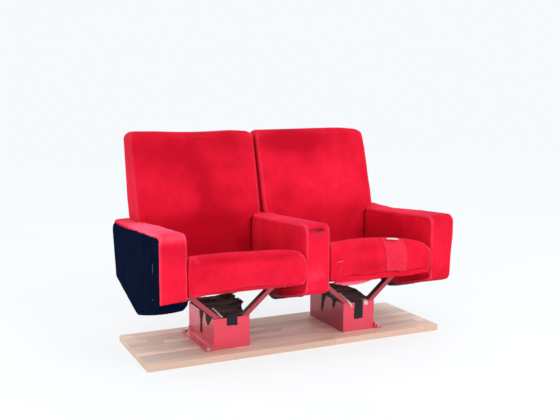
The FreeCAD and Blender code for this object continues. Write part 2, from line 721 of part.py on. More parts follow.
def seat_pan(name, middle):
    body = body_named(f"seat_pan_{name}")
    half = size.pan_width / 2
    pad(body, "z", pan_low, size.seat_under,
        rectangle(-half, size.pan_front, half, size.pan_rear, size.pan_corner))
    pocket(body, "z", pan_low, pan_low + size.hinge_screw_length - size.hinge_foot_thick + size.bore_runout,
           circles=[(x, y, size.hinge_screw_radius + size.bolt_clearance) for x, y in hinge_screw_places()])
    keep(body, f"seat_pan_{name}", middle)


def hinge_plate(name, middle, side):
    """Foot under the pan, an ear that hangs from it and a hub round the pivot."""
    label = f"hinge_plate_{name}_{outward(name, side)}"
    body = body_named(label)
    ear_out = hub_outer_end - size.hub_length / 2 + size.hinge_thick / 2
    ear_in = ear_out - size.hinge_thick
    hub_radius = bore_radius + size.hub_wall
    foot_low = pan_low - size.hinge_foot_thick
    front, rear = size.pivot_back - size.hinge_depth / 2, size.pivot_back + size.hinge_depth / 2
    low, high = span(side, ear_in, ear_out)
    ear = hub_radius + size.hinge_ear
    pad(body, "x", low, high,
        [(front, pan_low), (front, foot_low),
         (size.pivot_back - ear, size.pivot_height - ear, hub_radius),
         (size.pivot_back + ear, size.pivot_height - ear, hub_radius),
         (rear, foot_low), (rear, pan_low)])
    low, high = span(side, ear_out - size.hinge_foot, ear_out)
    pad(body, "z", foot_low, pan_low, rectangle(low, front, high, rear))
    low, high = span(side, hub_outer_end - size.hub_length, hub_outer_end)
    pad(body, "x", low, high, circles=[(*pin_place, hub_radius)])
    pocket(body, "x", low, high, circles=[(*pin_place, bore_radius)])
    pocket(body, "z", foot_low, pan_low,
           circles=[(x, y, size.hinge_screw_radius + size.bolt_clearance)
                    for x, y in hinge_screw_places() if x.number * side > 0])
    keep(body, label, middle)


def hinge_bushes(name, middle):
    """Nylon bushes pressed into the hubs of one seat."""
    bushes = []
    for side, _ in SIDES:
        tag = f"hinge_bush_{name}_{outward(name, side)}"
        start = (middle + side * hub_outer_end, *pin_place)
        way = "-x" if side > 0 else "x"
        outer = rod(f"{tag}_outer", bore_radius, size.hub_length, start, way)
        inner = rod(f"{tag}_bore", size.pin_radius + size.bush_gap, size.hub_length, start, way)
        whole = doc.addObject("Part::Cut", tag)
        whole.Base, whole.Tool = outer, inner
        bushes.append(whole)
    group(f"hinge_bushes_{name}", bushes)


def hinge_screws(name, middle):
    screws = [bolt(f"hinge_screw_{name}_{number}", size.hinge_screw_radius, size.hinge_screw_length,
                   (middle + x, y, pan_low - size.hinge_foot_thick), "z")
              for number, (x, y) in enumerate(hinge_screw_places(), 1)]
    group(f"hinge_screws_{name}", screws)


def pivot_pins():
    """Pins with a disc, screwed into the armrest cores, which the seats turn on."""
    pins = []
    for name, middle in UNITS:
        for side, _ in SIDES:
            tag = f"pivot_pin_{name}_{outward(name, side)}"
            face = (middle + side * arm_face, *pin_place)
            inward, out = ("-x", "x") if side > 0 else ("x", "-x")
            reach = size.pin_disc_thick + size.hub_end_gap + size.hub_length
            whole = doc.addObject("Part::MultiFuse", tag)
            whole.Shapes = [rod(f"{tag}_journal", size.pin_radius, reach, face, inward),
                            rod(f"{tag}_disc", size.pin_disc_radius, size.pin_disc_thick, face, inward),
                            rod(f"{tag}_shank", size.pin_shank_radius, size.pin_shank_length, face, out)]
            pins.append(whole)
    group("pivot_pins", pins)


def back_outline():
    """Front view of a backrest: narrow between the armrests, with wings above them."""
    low, wing, top = size.back_low_width / 2, size.back_wing_width / 2, size.back_top_width / 2
    right = [(low, size.back_bottom, size.back_low_corner), (low, size.back_wing_low),
             (wing, size.back_wing_low, size.back_wing_corner), (top, size.back_top, size.back_top_corner)]
    return right + [(-corner[0], *corner[1:]) for corner in reversed(right)]


back_foot_bolt = arm_face - size.back_bracket_foot / 2 - size.back_bracket_thick
shell_middle = size.back_rear - size.back_shell_thick / 2
back_height = size.back_top - size.back_knee
front_crest = size.back_front + back_height * size.back_lean
rear_crest = size.back_rear + back_height * size.back_rear_lean


def round_sides(body):
    """Rounds the front corners in plan, along the lean of the backrest."""
    half = size.back_top_width / 2
    trim(body, "z", size.back_knee,
         [(-half, size.back_front, size.back_side_radius), (half, size.back_front, size.back_side_radius),
          (half, FAR / 2), (-half, FAR / 2)], (0, size.back_lean, 1))


def back_pad(name, middle):
    """The padded front of a backrest, upright below its knee and leaning back above."""
    body = body_named(f"back_pad_{name}")
    half = size.back_top_width / 2
    joint_low = size.back_rear - size.back_shell_thick
    joint_top = rear_crest - size.back_shell_thick
    pad(body, "x", -half, half,
        [(size.back_front, size.back_bottom, size.back_chin), (joint_low, size.back_bottom),
         (joint_low, size.back_knee), (joint_top, size.back_top),
         (front_crest, size.back_top, size.back_crest),
         (size.back_front, size.back_knee, size.back_knee_radius)])
    trim(body, "y", 0, back_outline())
    round_sides(body)
    keep(body, f"back_pad_{name}", middle)


def back_shell(name, middle):
    """The covered plywood shell behind a backrest."""
    body = body_named(f"back_shell_{name}")
    half = size.back_top_width / 2
    joint_low = size.back_rear - size.back_shell_thick
    joint_top = rear_crest - size.back_shell_thick
    pad(body, "x", -half, half,
        [(joint_low, size.back_bottom), (size.back_rear, size.back_bottom, size.shell_edge),
         (size.back_rear, size.back_knee, size.back_knee_radius),
         (rear_crest, size.back_top, size.shell_edge),
         (joint_top, size.back_top), (joint_low, size.back_knee)])
    trim(body, "y", 0, back_outline())
    low = size.back_bottom
    pocket(body, "z", low, low + size.frame_bolt_length - size.back_bracket_thick + size.bore_runout,
           circles=[(side * back_foot_bolt, shell_middle, frame_bore) for side, _ in SIDES])
    keep(body, f"back_shell_{name}", middle)


def back_brackets(name, middle, side):
    """An angle on the armrest's inner face whose foot carries the backrest."""
    label = f"back_bracket_{name}_{outward(name, side)}"
    body = body_named(label)
    low, high = span(side, arm_face - size.back_bracket_thick, arm_face)
    front, rear = size.back_bracket_front, size.back_bracket_front + size.back_bracket_depth
    pad(body, "x", low, high, rectangle(front, size.back_bracket_low, rear, size.back_bracket_high))
    foot_low, foot_high = span(side, arm_face - size.back_bracket_foot, arm_face)
    pad(body, "z", size.back_bottom - size.back_bracket_thick, size.back_bottom,
        rectangle(foot_low, front, foot_high, rear))
    pocket(body, "x", low, high, circles=[(*back_bolt_place, frame_bore)])
    pocket(body, "z", size.back_bottom - size.back_bracket_thick, size.back_bottom,
           circles=[(side * back_foot_bolt, shell_middle, frame_bore)])
    keep(body, label, middle)


def frame_bolts():
    """Bolts of one size for the front brackets, rear feet and back brackets."""
    bolts = []
    for name, middle in UNITS:
        for side, _ in SIDES:
            tag = f"{name}_{outward(name, side)}"
            out = "x" if side > 0 else "-x"
            seats = [
                ("front", (middle + side * (arm_face - size.bracket_thick), *front_bolt_place), out),
                ("rear", (middle + side * (arm_face + size.rear_bolt_reach), rear_bolt_back,
                          size.rear_arm_top - size.rear_arm_tip), "z"),
                ("back", (middle + side * (arm_face - size.back_bracket_thick), *back_bolt_place), out),
                ("shell", (middle + side * back_foot_bolt, shell_middle,
                           size.back_bottom - size.back_bracket_thick), "z")]
            bolts += [bolt(f"frame_bolt_{tag}_{where}", size.frame_bolt_radius, size.frame_bolt_length,
                           seat, way) for where, seat, way in seats]
    group("frame_bolts", bolts)


base_board()
for name, middle in UNITS:
    pedestal(name, middle)
    for side, _ in SIDES:
        floor_angle(name, middle, side)
        front_strut(name, middle, side)
        front_bracket(name, middle, side)
        rear_arm(name, middle, side)
        hinge_plate(name, middle, side)
        back_brackets(name, middle, side)
    dust_cloth(name, middle)
    seat_cushion(name, middle)
    seat_pan(name, middle)
    hinge_bushes(name, middle)
    hinge_screws(name, middle)
    back_pad(name, middle)
    back_shell(name, middle)
for index, name in ((-1, "left"), (0, "middle"), (1, "right")):
    armrest(name, index)
    armrest_core(name, index)
end_panel()
floor_bolts()
frame_bolts()
pivot_pins()
stop_buffers()

doc.recompute()
for thing in doc.Objects:
    if "Invalid" in thing.State or "Error" in thing.State:
        raise RuntimeError(f"{thing.Name} failed: {thing.State}")
os.makedirs("parts", exist_ok=True)
for thing in parts:
    if thing.Shape.isNull() or not thing.Shape.isValid():
        raise RuntimeError(f"{thing.Label} has no sound shape")
    thing.Shape.exportStep(f"parts/{thing.Label}.step")
    print(thing.Label, len(thing.Shape.Solids), round(thing.Shape.Volume / 1000, 1))
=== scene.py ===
import json
import math

import bmesh
import bpy
import numpy as np
from bpy.props import FloatProperty, FloatVectorProperty, PointerProperty
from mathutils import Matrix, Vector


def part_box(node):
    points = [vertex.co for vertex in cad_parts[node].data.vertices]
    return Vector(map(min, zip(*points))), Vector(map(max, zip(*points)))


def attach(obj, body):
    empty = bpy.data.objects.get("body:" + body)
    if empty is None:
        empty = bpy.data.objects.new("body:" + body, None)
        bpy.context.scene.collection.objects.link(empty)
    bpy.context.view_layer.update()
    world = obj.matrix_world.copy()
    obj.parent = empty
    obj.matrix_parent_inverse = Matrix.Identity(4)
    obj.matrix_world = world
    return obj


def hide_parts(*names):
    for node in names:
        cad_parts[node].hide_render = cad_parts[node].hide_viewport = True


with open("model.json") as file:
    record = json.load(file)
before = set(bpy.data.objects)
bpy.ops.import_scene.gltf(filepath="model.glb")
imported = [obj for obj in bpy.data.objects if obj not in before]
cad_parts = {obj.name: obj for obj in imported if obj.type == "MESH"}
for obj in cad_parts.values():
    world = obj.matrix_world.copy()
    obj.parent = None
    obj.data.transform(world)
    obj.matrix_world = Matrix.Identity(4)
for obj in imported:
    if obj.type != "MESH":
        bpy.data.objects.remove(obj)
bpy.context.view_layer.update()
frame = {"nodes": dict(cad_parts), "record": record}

bl_info = {
    "name": "Tip-up seat pair",
    "version": (1, 0, 0),
    "blender": (4, 5, 0),
    "location": "View3D > Sidebar > Seats",
    "description": "Dresses a linked pair of tip-up auditorium seats on a timber board",
    "category": "Object",
}

UNITS = ("left", "right")
ARMS = ("left", "middle", "right")


def extent(node):
    """Lowest and highest corner of a CAD node as two arrays."""
    low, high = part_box(node)
    return np.array(low), np.array(high)


MIDDLES = {unit: np.mean(extent(f"seat_pan_{unit}"), axis=0)[0] for unit in UNITS}


def tint(name, description, default):
    """A colour that can be edited."""
    return FloatVectorProperty(name=name, description=description, subtype="COLOR", size=3, min=0, max=1,
                               default=default)


def length(name, description, default, most):
    """A length in metres that can be edited."""
    return FloatProperty(name=name, description=description, unit="LENGTH", default=default, min=0, max=most)


class SEAT_PG_velvet(bpy.types.PropertyGroup):
    """Colours of the upholstery."""
    # Red is also what painted light on the velvet draws toward, and deep red what painted shade draws toward
    red: tint("Red", "Velvet with the pile brushed up", (0.86, 0.012, 0.042))
    deep: tint("Deep red", "Velvet with the pile brushed down", (0.5, 0.003, 0.016))
    navy: tint("Navy", "Velvet of the end panel", (0.0012, 0.004, 0.018))
    lining: tint("Lining", "Pale strip of lining below the loose cover", (0.86, 0.1, 0.17))


class SEAT_PG_shape(bpy.types.PropertyGroup):
    """Fullness of the padded pieces."""
    back_fullness: length("Back fullness", "Rise of a backrest's front at its middle", 0.006, 0.03)
    arm_fullness: length("Armrest fullness", "Swell of an armrest's sides", 0.001, 0.01)
    seat_pull: length("Seat pull-in", "How far a cushion's sides draw in between corners", 0.003, 0.01)
    puff: length("Puff", "Furthest that the cloth simulation may move a point", 0.006, 0.03)


class SEAT_PG_base(bpy.types.PropertyGroup):
    """Colours of the pedestals and the board."""
    paint: tint("Paint", "Metallic red of pedestals and struts", (0.76, 0.04, 0.084))
    wood: tint("Wood", "Mid tone of the laminated board", (0.76, 0.6, 0.49))


class SEAT_PG_studio(bpy.types.PropertyGroup):
    """Lamps and surroundings."""
    key: FloatProperty(name="Key lamp", description="Watts of the large lamp in front on the right",
                       default=60, min=0)
    side: FloatProperty(name="Side lamp", description="Watts of the lamp on the left", default=24, min=0)
    room: FloatProperty(name="Room light", description="Strength of the light from all round",
                        default=0.95, min=0)
    focal: FloatProperty(name="Focal length", description="Camera focal length in millimetres", default=50.36,
                         min=10)


def chosen(group):
    """A property group of the scene, by its short name."""
    return getattr(bpy.context.scene, f"seat_{group}")


def colours(group, *keys):
    """Colours of a property group as tuples."""
    return [tuple(getattr(chosen(group), key)) for key in keys]


# ---------------------------------------------------------------- meshes

def skin(name, rows, closed=True):
    """Makes a mesh from a grid of points, rows by columns; the columns join up into a ring if closed.
    Points that fall together, as at a pole, become one, and the faces turn outwards."""
    count, around = rows.shape[:2]
    index = np.arange(count * around).reshape(count, around)
    after = np.roll(index, -1, axis=1)
    if not closed:
        index, after = index[:, :-1], after[:, :-1]
    quads = np.stack([index[:-1], after[:-1], after[1:], index[1:]], axis=-1).reshape(-1, 4)
    mesh = bpy.data.meshes.new(name)
    mesh.from_pydata(rows.reshape(-1, 3), [], quads)
    work = bmesh.new()
    work.from_mesh(mesh)
    bmesh.ops.remove_doubles(work, verts=work.verts, dist=1e-5)
    bmesh.ops.recalc_face_normals(work, faces=work.faces)
    work.to_mesh(mesh)
    work.free()
    mesh.shade_smooth()
    thing = bpy.data.objects.new(name, mesh)
    bpy.context.scene.collection.objects.link(thing)
    return thing


def points_of(mesh, key="co"):
    """The places of a mesh's points, or their normals, as rows."""
    place = np.empty(len(mesh.vertices) * 3)
    mesh.vertices.foreach_get(key, place)
    return place.reshape(-1, 3)


def put_points(mesh, place):
    """Moves a mesh's points to the given rows."""
    mesh.vertices.foreach_set("co", np.ascontiguousarray(place, np.float32).ravel())
    mesh.update()


def axes(points):
    """The three coordinates as views: what is added to one moves the points."""
    return np.moveaxis(points, -1, 0)


def smooth(value, low, high):
    """0 below low, 1 above high and an even S between them."""
    share = np.clip((value - low) / (high - low), 0, 1)
    return share * share * (3 - 2 * share)


def fade(value, low, high):
    """1 below low and 0 above high."""
    return 1 - smooth(value, low, high)


def ripple(points, size, seed):
    """Uneven softness: a sum of twelve plane waves of about the given length in seeded directions, divided by
    six, so that it mostly stays between -1 and 1."""
    draw = np.random.default_rng(seed)
    ways = draw.normal(size=(12, 3))
    ways /= np.linalg.norm(ways, axis=1)[:, None]
    ways *= (2 * math.pi / size) * draw.uniform(0.6, 1.5, (12, 1))
    return np.sin(points @ ways.T + draw.uniform(0, 2 * math.pi, 12)).sum(axis=-1) / 6


def run_of(path):
    """Distance from a path's start at each of its points."""
    return np.concatenate([[0], np.cumsum(np.linalg.norm(np.diff(path, axis=0), axis=1))])


def at(spots, along, values):
    """Columns of values read off at spots along a path."""
    return np.stack([np.interp(spots, along, column) for column in values.T], axis=1)


def loop(corners, count):
    """Closed outline of straight runs joined by arcs. Each corner is (across, up, radius), and the arc
    touches both runs. Gives evenly spaced points and their outward normals."""
    spots = np.array([corner[:2] for corner in corners], float)
    path = []
    for i, ((_, _, radius), spot) in enumerate(zip(corners, spots)):
        toward, onward = spots[i - 1] - spot, spots[(i + 1) % len(spots)] - spot
        toward, onward = toward / np.linalg.norm(toward), onward / np.linalg.norm(onward)
        half = math.acos(np.clip(toward @ onward, -1, 1)) / 2
        reach = radius / math.tan(half)
        centre = spot + (toward + onward) / np.linalg.norm(toward + onward) * radius / math.sin(half)
        first, last = spot + toward * reach - centre, spot + onward * reach - centre
        turn = np.arctan2(first[0] * last[1] - first[1] * last[0], first @ last)
        angle = np.linspace(0, turn, 24)[:, None]
        path.append(centre + first * np.cos(angle) + np.array([-first[1], first[0]]) * np.sin(angle))
    path = np.concatenate(path + [path[0][:1]])
    along = run_of(path)
    outline = at(np.linspace(0, along[-1], count, endpoint=False), along, path)
    way = np.roll(outline, -1, axis=0) - np.roll(outline, 1, axis=0)
    way /= np.linalg.norm(way, axis=1)[:, None]
    normal = np.stack([way[:, 1], -way[:, 0]], axis=1)
    if ((outline - outline.mean(axis=0)) * normal).sum() < 0:
        normal = -normal
    return outline, normal


def slab(corners, low, high, first_edge, last_edge, heart, count, faces, rim, edge):
    """A thick plate with rounded edges, as a grid of rings. Its outline is carried from low to high; at each
    end it turns over an arc of the edge's radius and closes towards the heart, a point that sees the whole
    outline. The last four numbers are how many points go round the outline, over each face, over the rim and
    over each edge."""
    outline, normal = loop(corners, count)
    heart = np.array(heart)
    quarter = np.linspace(0, math.pi / 2, edge)
    shrink = np.linspace(0, 1, faces) ** 0.8
    inset = np.concatenate([np.full(faces, first_edge), first_edge * (1 - np.sin(quarter)), np.zeros(rim),
                            last_edge * (1 - np.cos(quarter)), np.full(faces, last_edge)])
    across = np.concatenate([np.full(faces, low), low + first_edge * (1 - np.cos(quarter)),
                             np.linspace(low + first_edge, high - last_edge, rim),
                             high - last_edge * (1 - np.sin(quarter)), np.full(faces, high)])
    share = np.concatenate([shrink, np.ones(edge * 2 + rim), shrink[::-1]])
    ring = outline[None] - normal[None] * inset[:, None, None]
    ring = heart + (ring - heart) * share[:, None, None]
    points = np.concatenate([np.broadcast_to(across[:, None, None], (*ring.shape[:2], 1)), ring], axis=-1)
    step = np.abs(np.diff(across)) + np.abs(np.diff(inset)) + np.abs(np.diff(share))
    return points[np.concatenate([[True], step > 1e-7])]


def sheet_of(name, rows, thick):
    """A thin piece from an open grid of points, given its thickness by Solidify."""
    thing = skin(name, rows, closed=False)
    wall = thing.modifiers.new("thickness", "SOLIDIFY")
    wall.thickness, wall.offset = thick, 0.0
    return thing


def easy_curve(spots, count):
    """A smooth line near the given points: each of four rounds cuts every corner at a quarter and three
    quarters of its sides, and the result is spaced evenly."""
    line = np.array(spots, float)
    for _ in range(4):
        cut = np.stack([line[:-1] * 0.75 + line[1:] * 0.25, line[:-1] * 0.25 + line[1:] * 0.75], axis=1)
        line = np.concatenate([line[:1], cut.reshape(-1, line.shape[1]), line[-1:]])
    along = run_of(line)
    return at(np.linspace(0, along[-1], count), along, line)


def declared(thing, points):
    """Works out the cross products of a sheet's grid cells and gives the sheet back as it is."""
    first = np.cross(points[1:, :-1] - points[:-1, :-1], points[:-1, 1:] - points[:-1, :-1])
    second = np.cross(points[1:, :-1] - points[1:, 1:], points[:-1, 1:] - points[1:, 1:])
    return thing


def ribbon(name, spots, widths, way, thick, count, columns, ragged, crown=None, seed=0, rests=None):
    """A strip of cloth, tape or foam: a smooth line with a width carried each side of it along a direction.
    Its ends and sides are ragged, and a crown lifts its middle along its own direction."""
    way = np.array(way, float)
    spine = easy_curve(spots, count)
    along = np.linspace(0, 1, count)
    wide = np.interp(along, np.linspace(0, 1, len(widths)), widths)
    across = np.linspace(-0.5, 0.5, columns)
    points = spine[:, None] + (wide[:, None] * across)[..., None] * way
    uneven = ripple(points, 0.012, seed)[..., None] * ragged
    tangent = np.gradient(spine, axis=0)
    tangent /= np.linalg.norm(tangent, axis=1)[:, None]
    ends = (1 - np.sin(math.pi * along)) ** 6
    points = points + uneven * (ends[:, None, None] * tangent[:, None] * 2
                                + (np.abs(across) * 2)[None, :, None] ** 4 * way)
    if crown is not None:
        lift = np.cos(math.pi * across) ** 2 * np.sin(math.pi * np.clip(along, 0.001, 0.999))[:, None]
        points = points + lift[..., None] * np.array(crown, float)
    thing = sheet_of(name, points, thick)
    return thing if rests is None else declared(thing, points)


def ends_of(mesh):
    """The two points of each edge, as two arrays."""
    pairs = np.empty(len(mesh.edges) * 2, int)
    mesh.edges.foreach_get("vertices", pairs)
    return pairs.reshape(-1, 2).T


def smooth_over(mesh, value, rounds):
    """Evens out numbers or vectors on a mesh's points: each round takes the mean of a point and its
    neighbours."""
    one, two = ends_of(mesh)
    total = len(mesh.vertices)
    count = np.bincount(np.concatenate([one, two]), minlength=total) + 1
    value = value.reshape(total, -1)
    for _ in range(rounds):
        value = np.stack([(column + np.bincount(one, weights=column[two], minlength=total)
                           + np.bincount(two, weights=column[one], minlength=total)) / count
                          for column in value.T], axis=1)
    return value


def add_edges(thing, least, most, rounds=3):
    """Writes the attribute edge, 1 on tight outward bends and 0 on flats: the bend of the surface at a point
    is how far its neighbours lie below its tangent plane, over half their squared distance, as a mean."""
    mesh = thing.data
    place, normal = points_of(mesh), points_of(mesh, "normal")
    one, two = ends_of(mesh)
    count = np.bincount(np.concatenate([one, two]), minlength=len(place))
    gap = place[two] - place[one]
    square = (gap ** 2).sum(axis=1)
    drop = np.zeros(len(place))
    for ends, way in ((one, gap), (two, -gap)):
        drop += np.bincount(ends, weights=-(way * normal[ends]).sum(axis=1) * 2 / np.maximum(square, 1e-12),
                            minlength=len(place))
    bend = smooth_over(mesh, drop / np.maximum(count, 1), rounds)[:, 0]
    layer = mesh.attributes.new("edge", "FLOAT", "POINT")
    layer.data.foreach_set("value", smooth(bend, least, most).astype(np.float32))


def coat(thing, material):
    """Gives a piece one material."""
    thing.data.materials.clear()
    thing.data.materials.append(material)


def dress(thing, body, material, replaces=()):
    """Rides a finished piece on its body and gives it its finish."""
    coat(thing, material)
    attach(thing, body)
    if replaces:
        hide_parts(*replaces)


def puffed(thing, voxel, cap):
    """Remeshes a closed piece and lets cloth under air pressure take up its shape over 20 frames. A point
    moves cap at most, and the moves are evened out, so that the cover stays smooth."""
    remesh = thing.modifiers.new("remesh", "REMESH")
    remesh.mode, remesh.voxel_size = "VOXEL", voxel
    apply_modifiers(thing)
    mesh = thing.data
    start = points_of(mesh)
    cloth = thing.modifiers.new("cloth", "CLOTH")
    cloth.settings.use_pressure = True
    cloth.settings.uniform_pressure_force = 4
    cloth.settings.effector_weights.gravity = 0
    cloth.settings.tension_stiffness = 25
    cloth.settings.compression_stiffness = 25
    cloth.settings.bending_stiffness = 5
    cloth.settings.quality = 4
    for number in range(1, 21):
        bpy.context.scene.frame_set(number)
    depsgraph = bpy.context.evaluated_depsgraph_get()
    shift = points_of(thing.evaluated_get(depsgraph).data) - start
    thing.modifiers.clear()
    bpy.context.scene.frame_set(1)
    shift *= np.minimum(1, cap / np.maximum(np.linalg.norm(shift, axis=1), 1e-9))[:, None]
    start = start + smooth_over(mesh, shift, 12)
    put_points(mesh, start + 0.5 * (smooth_over(mesh, start, 3) - start))


def apply_modifiers(thing):
    """Writes the piece's modifiers into its mesh."""
    depsgraph = bpy.context.evaluated_depsgraph_get()
    mesh = bpy.data.meshes.new_from_object(thing.evaluated_get(depsgraph))
    thing.modifiers.clear()
    old, thing.data = thing.data, mesh
    bpy.data.meshes.remove(old)
    mesh.name = thing.name
    mesh.shade_smooth()


def refine(thing):
    """Divides every face once more, smoothly."""
    finer = thing.modifiers.new("finer", "SUBSURF")
    finer.levels = finer.render_levels = 1
    apply_modifiers(thing)


# ---------------------------------------------------------------- finishes

class Wire:
    """An output among nodes; the arithmetic signs on it add Math nodes."""

    def __init__(self, nodes, socket):
        self.nodes, self.socket = nodes, socket

    def math(self, operation, *others):
        """A Math node with this as its first value."""
        return self.nodes.node("ShaderNodeMath", {"operation": operation}, dict(enumerate([self, *others])))
    def __add__(self, other):
        return self.math("ADD", other)

    def __mul__(self, other):
        return self.math("MULTIPLY", other)

    def __sub__(self, other):
        return self.math("SUBTRACT", other)

    def __rsub__(self, other):
        return (self * -1.0) + other

    __radd__, __rmul__ = __add__, __mul__

    def step(self, low, high, start=0.0, end=1.0):
        """An even S from start to end as the value goes from low to high."""
        return self.nodes.node("ShaderNodeMapRange", {"interpolation_type": "SMOOTHSTEP"},
                               {0: self, 1: low, 2: high, 3: start, 4: end})

    def near(self, place, width):
        """1 at a place, 0 a width away from it."""
        return (self - place).math("ABSOLUTE").step(0.0, width, 1.0, 0.0)

    def held(self):
        """Kept between 0 and 1."""
        return self.math("MAXIMUM", 0.0).math("MINIMUM", 1.0)


class Nodes:
    """The nodes of a material or a world."""

    def __init__(self, tree):
        self.tree = tree

    def node(self, kind, settings=None, values=None, output=0):
        """Adds a node of a type: its settings first, then the values or links of its sockets."""
        made = self.tree.nodes.new(kind)
        for key, value in (settings or {}).items():
            setattr(made, key, value)
        for key, value in (values or {}).items():
            self.feed(made.inputs[key], value)
        return Wire(self, made.outputs[output])

    def feed(self, socket, value):
        """Links a wire to a socket, or writes a number or a colour into it."""
        if isinstance(value, Wire):
            self.tree.links.new(value.socket, socket)
        elif socket.type == "RGBA":
            socket.default_value = (*value, 1.0)
        else:
            socket.default_value = value

    def show(self, output, shader, share):
        """Mixes another shader by a share into what an output node gets."""
        surface = self.tree.nodes[output].inputs["Surface"]
        old = Wire(self, surface.links[0].from_socket)
        self.feed(surface, self.node("ShaderNodeMixShader", None, {0: share, 1: old, 2: shader}))


class Finish(Nodes):
    """A material of nodes round one Principled shader."""

    def __init__(self, name):
        self.material = bpy.data.materials.new(name)
        self.material.use_nodes = True
        super().__init__(self.material.node_tree)
        self.shader = self.tree.nodes["Principled BSDF"]
        self.place = self.node("ShaderNodeTexCoord", output="Object")
        self.across, self.behind, self.up = (
            self.node("ShaderNodeSeparateXYZ", values={0: self.place}, output=axis) for axis in "XYZ")

    def edge(self):
        """The edge attribute of a piece, 1 on tight outward bends; finishes lighten by it, partly as wear and
        partly as a painted highlight.
        """
        return self.node("ShaderNodeAttribute", {"attribute_name": "edge"}, output="Fac")

    def moved(self, scale=(1, 1, 1), shift=(0, 0, 0), turn=(0, 0, 0)):
        """Object coordinates turned, stretched and shifted."""
        return self.node("ShaderNodeMapping", None,
                         {"Vector": self.place, "Location": shift, "Rotation": turn, "Scale": scale})

    def noise(self, scale, detail=3.0, rough=0.5, at=None, bend=0.0):
        """Noise of a scale on object coordinates, or on others."""
        return self.node("ShaderNodeTexNoise", None,
                         {"Vector": at or self.place, "Scale": scale, "Detail": detail, "Roughness": rough,
                          "Distortion": bend})

    def mix(self, first, second, share):
        """One colour into another by a share."""
        return self.node("ShaderNodeMix", {"data_type": "RGBA"}, {0: share, 6: first, 7: second}, 2)

    def bumps(self, *layers):
        """Bump nodes one on another; each layer is a height, a strength and a distance."""
        normal = None
        for height, strength, distance in layers:
            values = {"Height": height, "Strength": strength, "Distance": distance}
            if normal:
                values["Normal"] = normal
            normal = self.node("ShaderNodeBump", None, values)
        self.feed(self.shader.inputs["Normal"], normal)

    def done(self, **values):
        """Feeds the Principled shader; an underscore stands for a space."""
        for key, value in values.items():
            self.feed(self.shader.inputs[key.replace("_", " ")], value)
        return self.material


def shaded(colour, times, plus=0.0):
    """A colour made lighter or darker, 1 at most."""
    return tuple(min(1.0, c * times + plus) for c in colour)


def blob(f, place, reach):
    """1 at a place, falling to 0 at the reach on each axis; a reach of None leaves that axis out."""
    share = 1.0
    for wire, middle, width in zip((f.across, f.behind, f.up), place, reach):
        if width:
            share = wire.near(middle, width) * share
    return share


def velvet(name, shift=(0, 0, 0), cloud=5.0, shades=(), lights=(), marks=None, pale=0.38, base=0.0):
    """Short-pile velvet: brushed clouds, hand strokes, paler edges and a fine pile. The paler edges are
    partly wear and partly a painted highlight of the sheen along rounded edges. Shades and lights are (place,
    reach, strength): patches darkened or lightened, among them painted shade on faces turned from the light
    and painted light on lit tops; the base shifts the whole piece."""
    red, deep = colours("velvet", "red", "deep")
    f = Finish(name)
    clouds = f.noise(cloud, 5.0, 0.58, f.moved(shift=shift), 0.4)
    strokes = f.noise(22.0, 4.0, 0.65, f.moved((1.0, 1.0, 0.55), shift, (0.0, 0.3, 0.2)), 0.5)
    pile = f.noise(1100.0, 2.0, 0.6)
    grain = f.noise(210.0, 3.0, 0.65)
    contrast = 0.6
    nap_and_painted_light = clouds.step(0.3, 0.66) * (contrast * 0.65) + strokes.step(0.34, 0.68) * (contrast * 0.35)
    nap_and_painted_light = nap_and_painted_light + ((1 - contrast) * 0.85 + base)
    # Shades darken and lights lighten patches: painted shade on faces turned from the light, painted light on
    # lit tops
    for place, reach, strength in shades:
        nap_and_painted_light = nap_and_painted_light - blob(f, place, reach) * (strokes.step(0.3, 0.6) * 0.4 + 0.7) * strength
    for place, reach, strength in lights:
        nap_and_painted_light = nap_and_painted_light + blob(f, place, reach) * strength
    colour = f.mix(deep, red, nap_and_painted_light.held())
    bright = (min(1.0, red[0] + 0.1), red[1] + 0.1, red[2] + 0.16)
    # Pale share: edges (partly wear, partly painted highlight), a little grain, and lights lifted above 1
    # (painted light)
    worn = f.edge() * pale + grain.step(0.5, 0.75) * 0.05 + (nap_and_painted_light - 1.0).math("MAXIMUM", 0.0) * 0.6
    colour = f.mix(colour, bright, worn.held())
    if marks:
        colour = marks(f, colour)
    colour = f.mix(colour, (0.0, 0.0, 0.0), pile.step(0.3, 0.7, 0.1, 0.0))
    f.bumps((pile, 0.3, 0.0006), (grain, 0.18, 0.0012), (strokes, 0.1, 0.004))
    return f.done(Base_Color=colour, Roughness=pile.step(0.3, 0.7, 0.8, 0.96), Sheen_Weight=0.34,
                  Sheen_Roughness=0.3, Sheen_Tint=(1.0, 0.16, 0.3), Specular_IOR_Level=0.05)


def woven(name, colour, thread=900.0, rough=0.9, tone=0.35):
    """A plain close weave: two crossing waves, a little dust and lint."""
    f = Finish(name)
    warp = (f.across * thread + f.behind * 60.0).math("SINE")
    weft = (f.behind * thread + f.up * thread).math("SINE")
    weave = (warp * weft) * 0.5 + 0.5
    dust = f.noise(22.0, 4.0, 0.6)
    lint = f.noise(400.0, 2.0, 0.5)
    light = shaded(colour, 2.2, 0.012)
    # The edge share lightens tight bends: partly wear, partly a painted highlight
    shade = f.mix(colour, light, (dust.step(0.45, 0.75) * tone + weave * 0.25 + f.edge() * 0.3).held())
    shade = f.mix(shade, shaded(colour, 1, 0.2), lint.step(0.68, 0.8) * 0.15)
    f.bumps((weave, 0.35, 0.0005), (f.noise(60.0, 3.0, 0.6), 0.3, 0.003))
    return f.done(Base_Color=shade, Roughness=dust.step(0.3, 0.7, rough, rough - 0.15), Sheen_Weight=0.15,
                  Sheen_Roughness=0.5, Specular_IOR_Level=0.2)


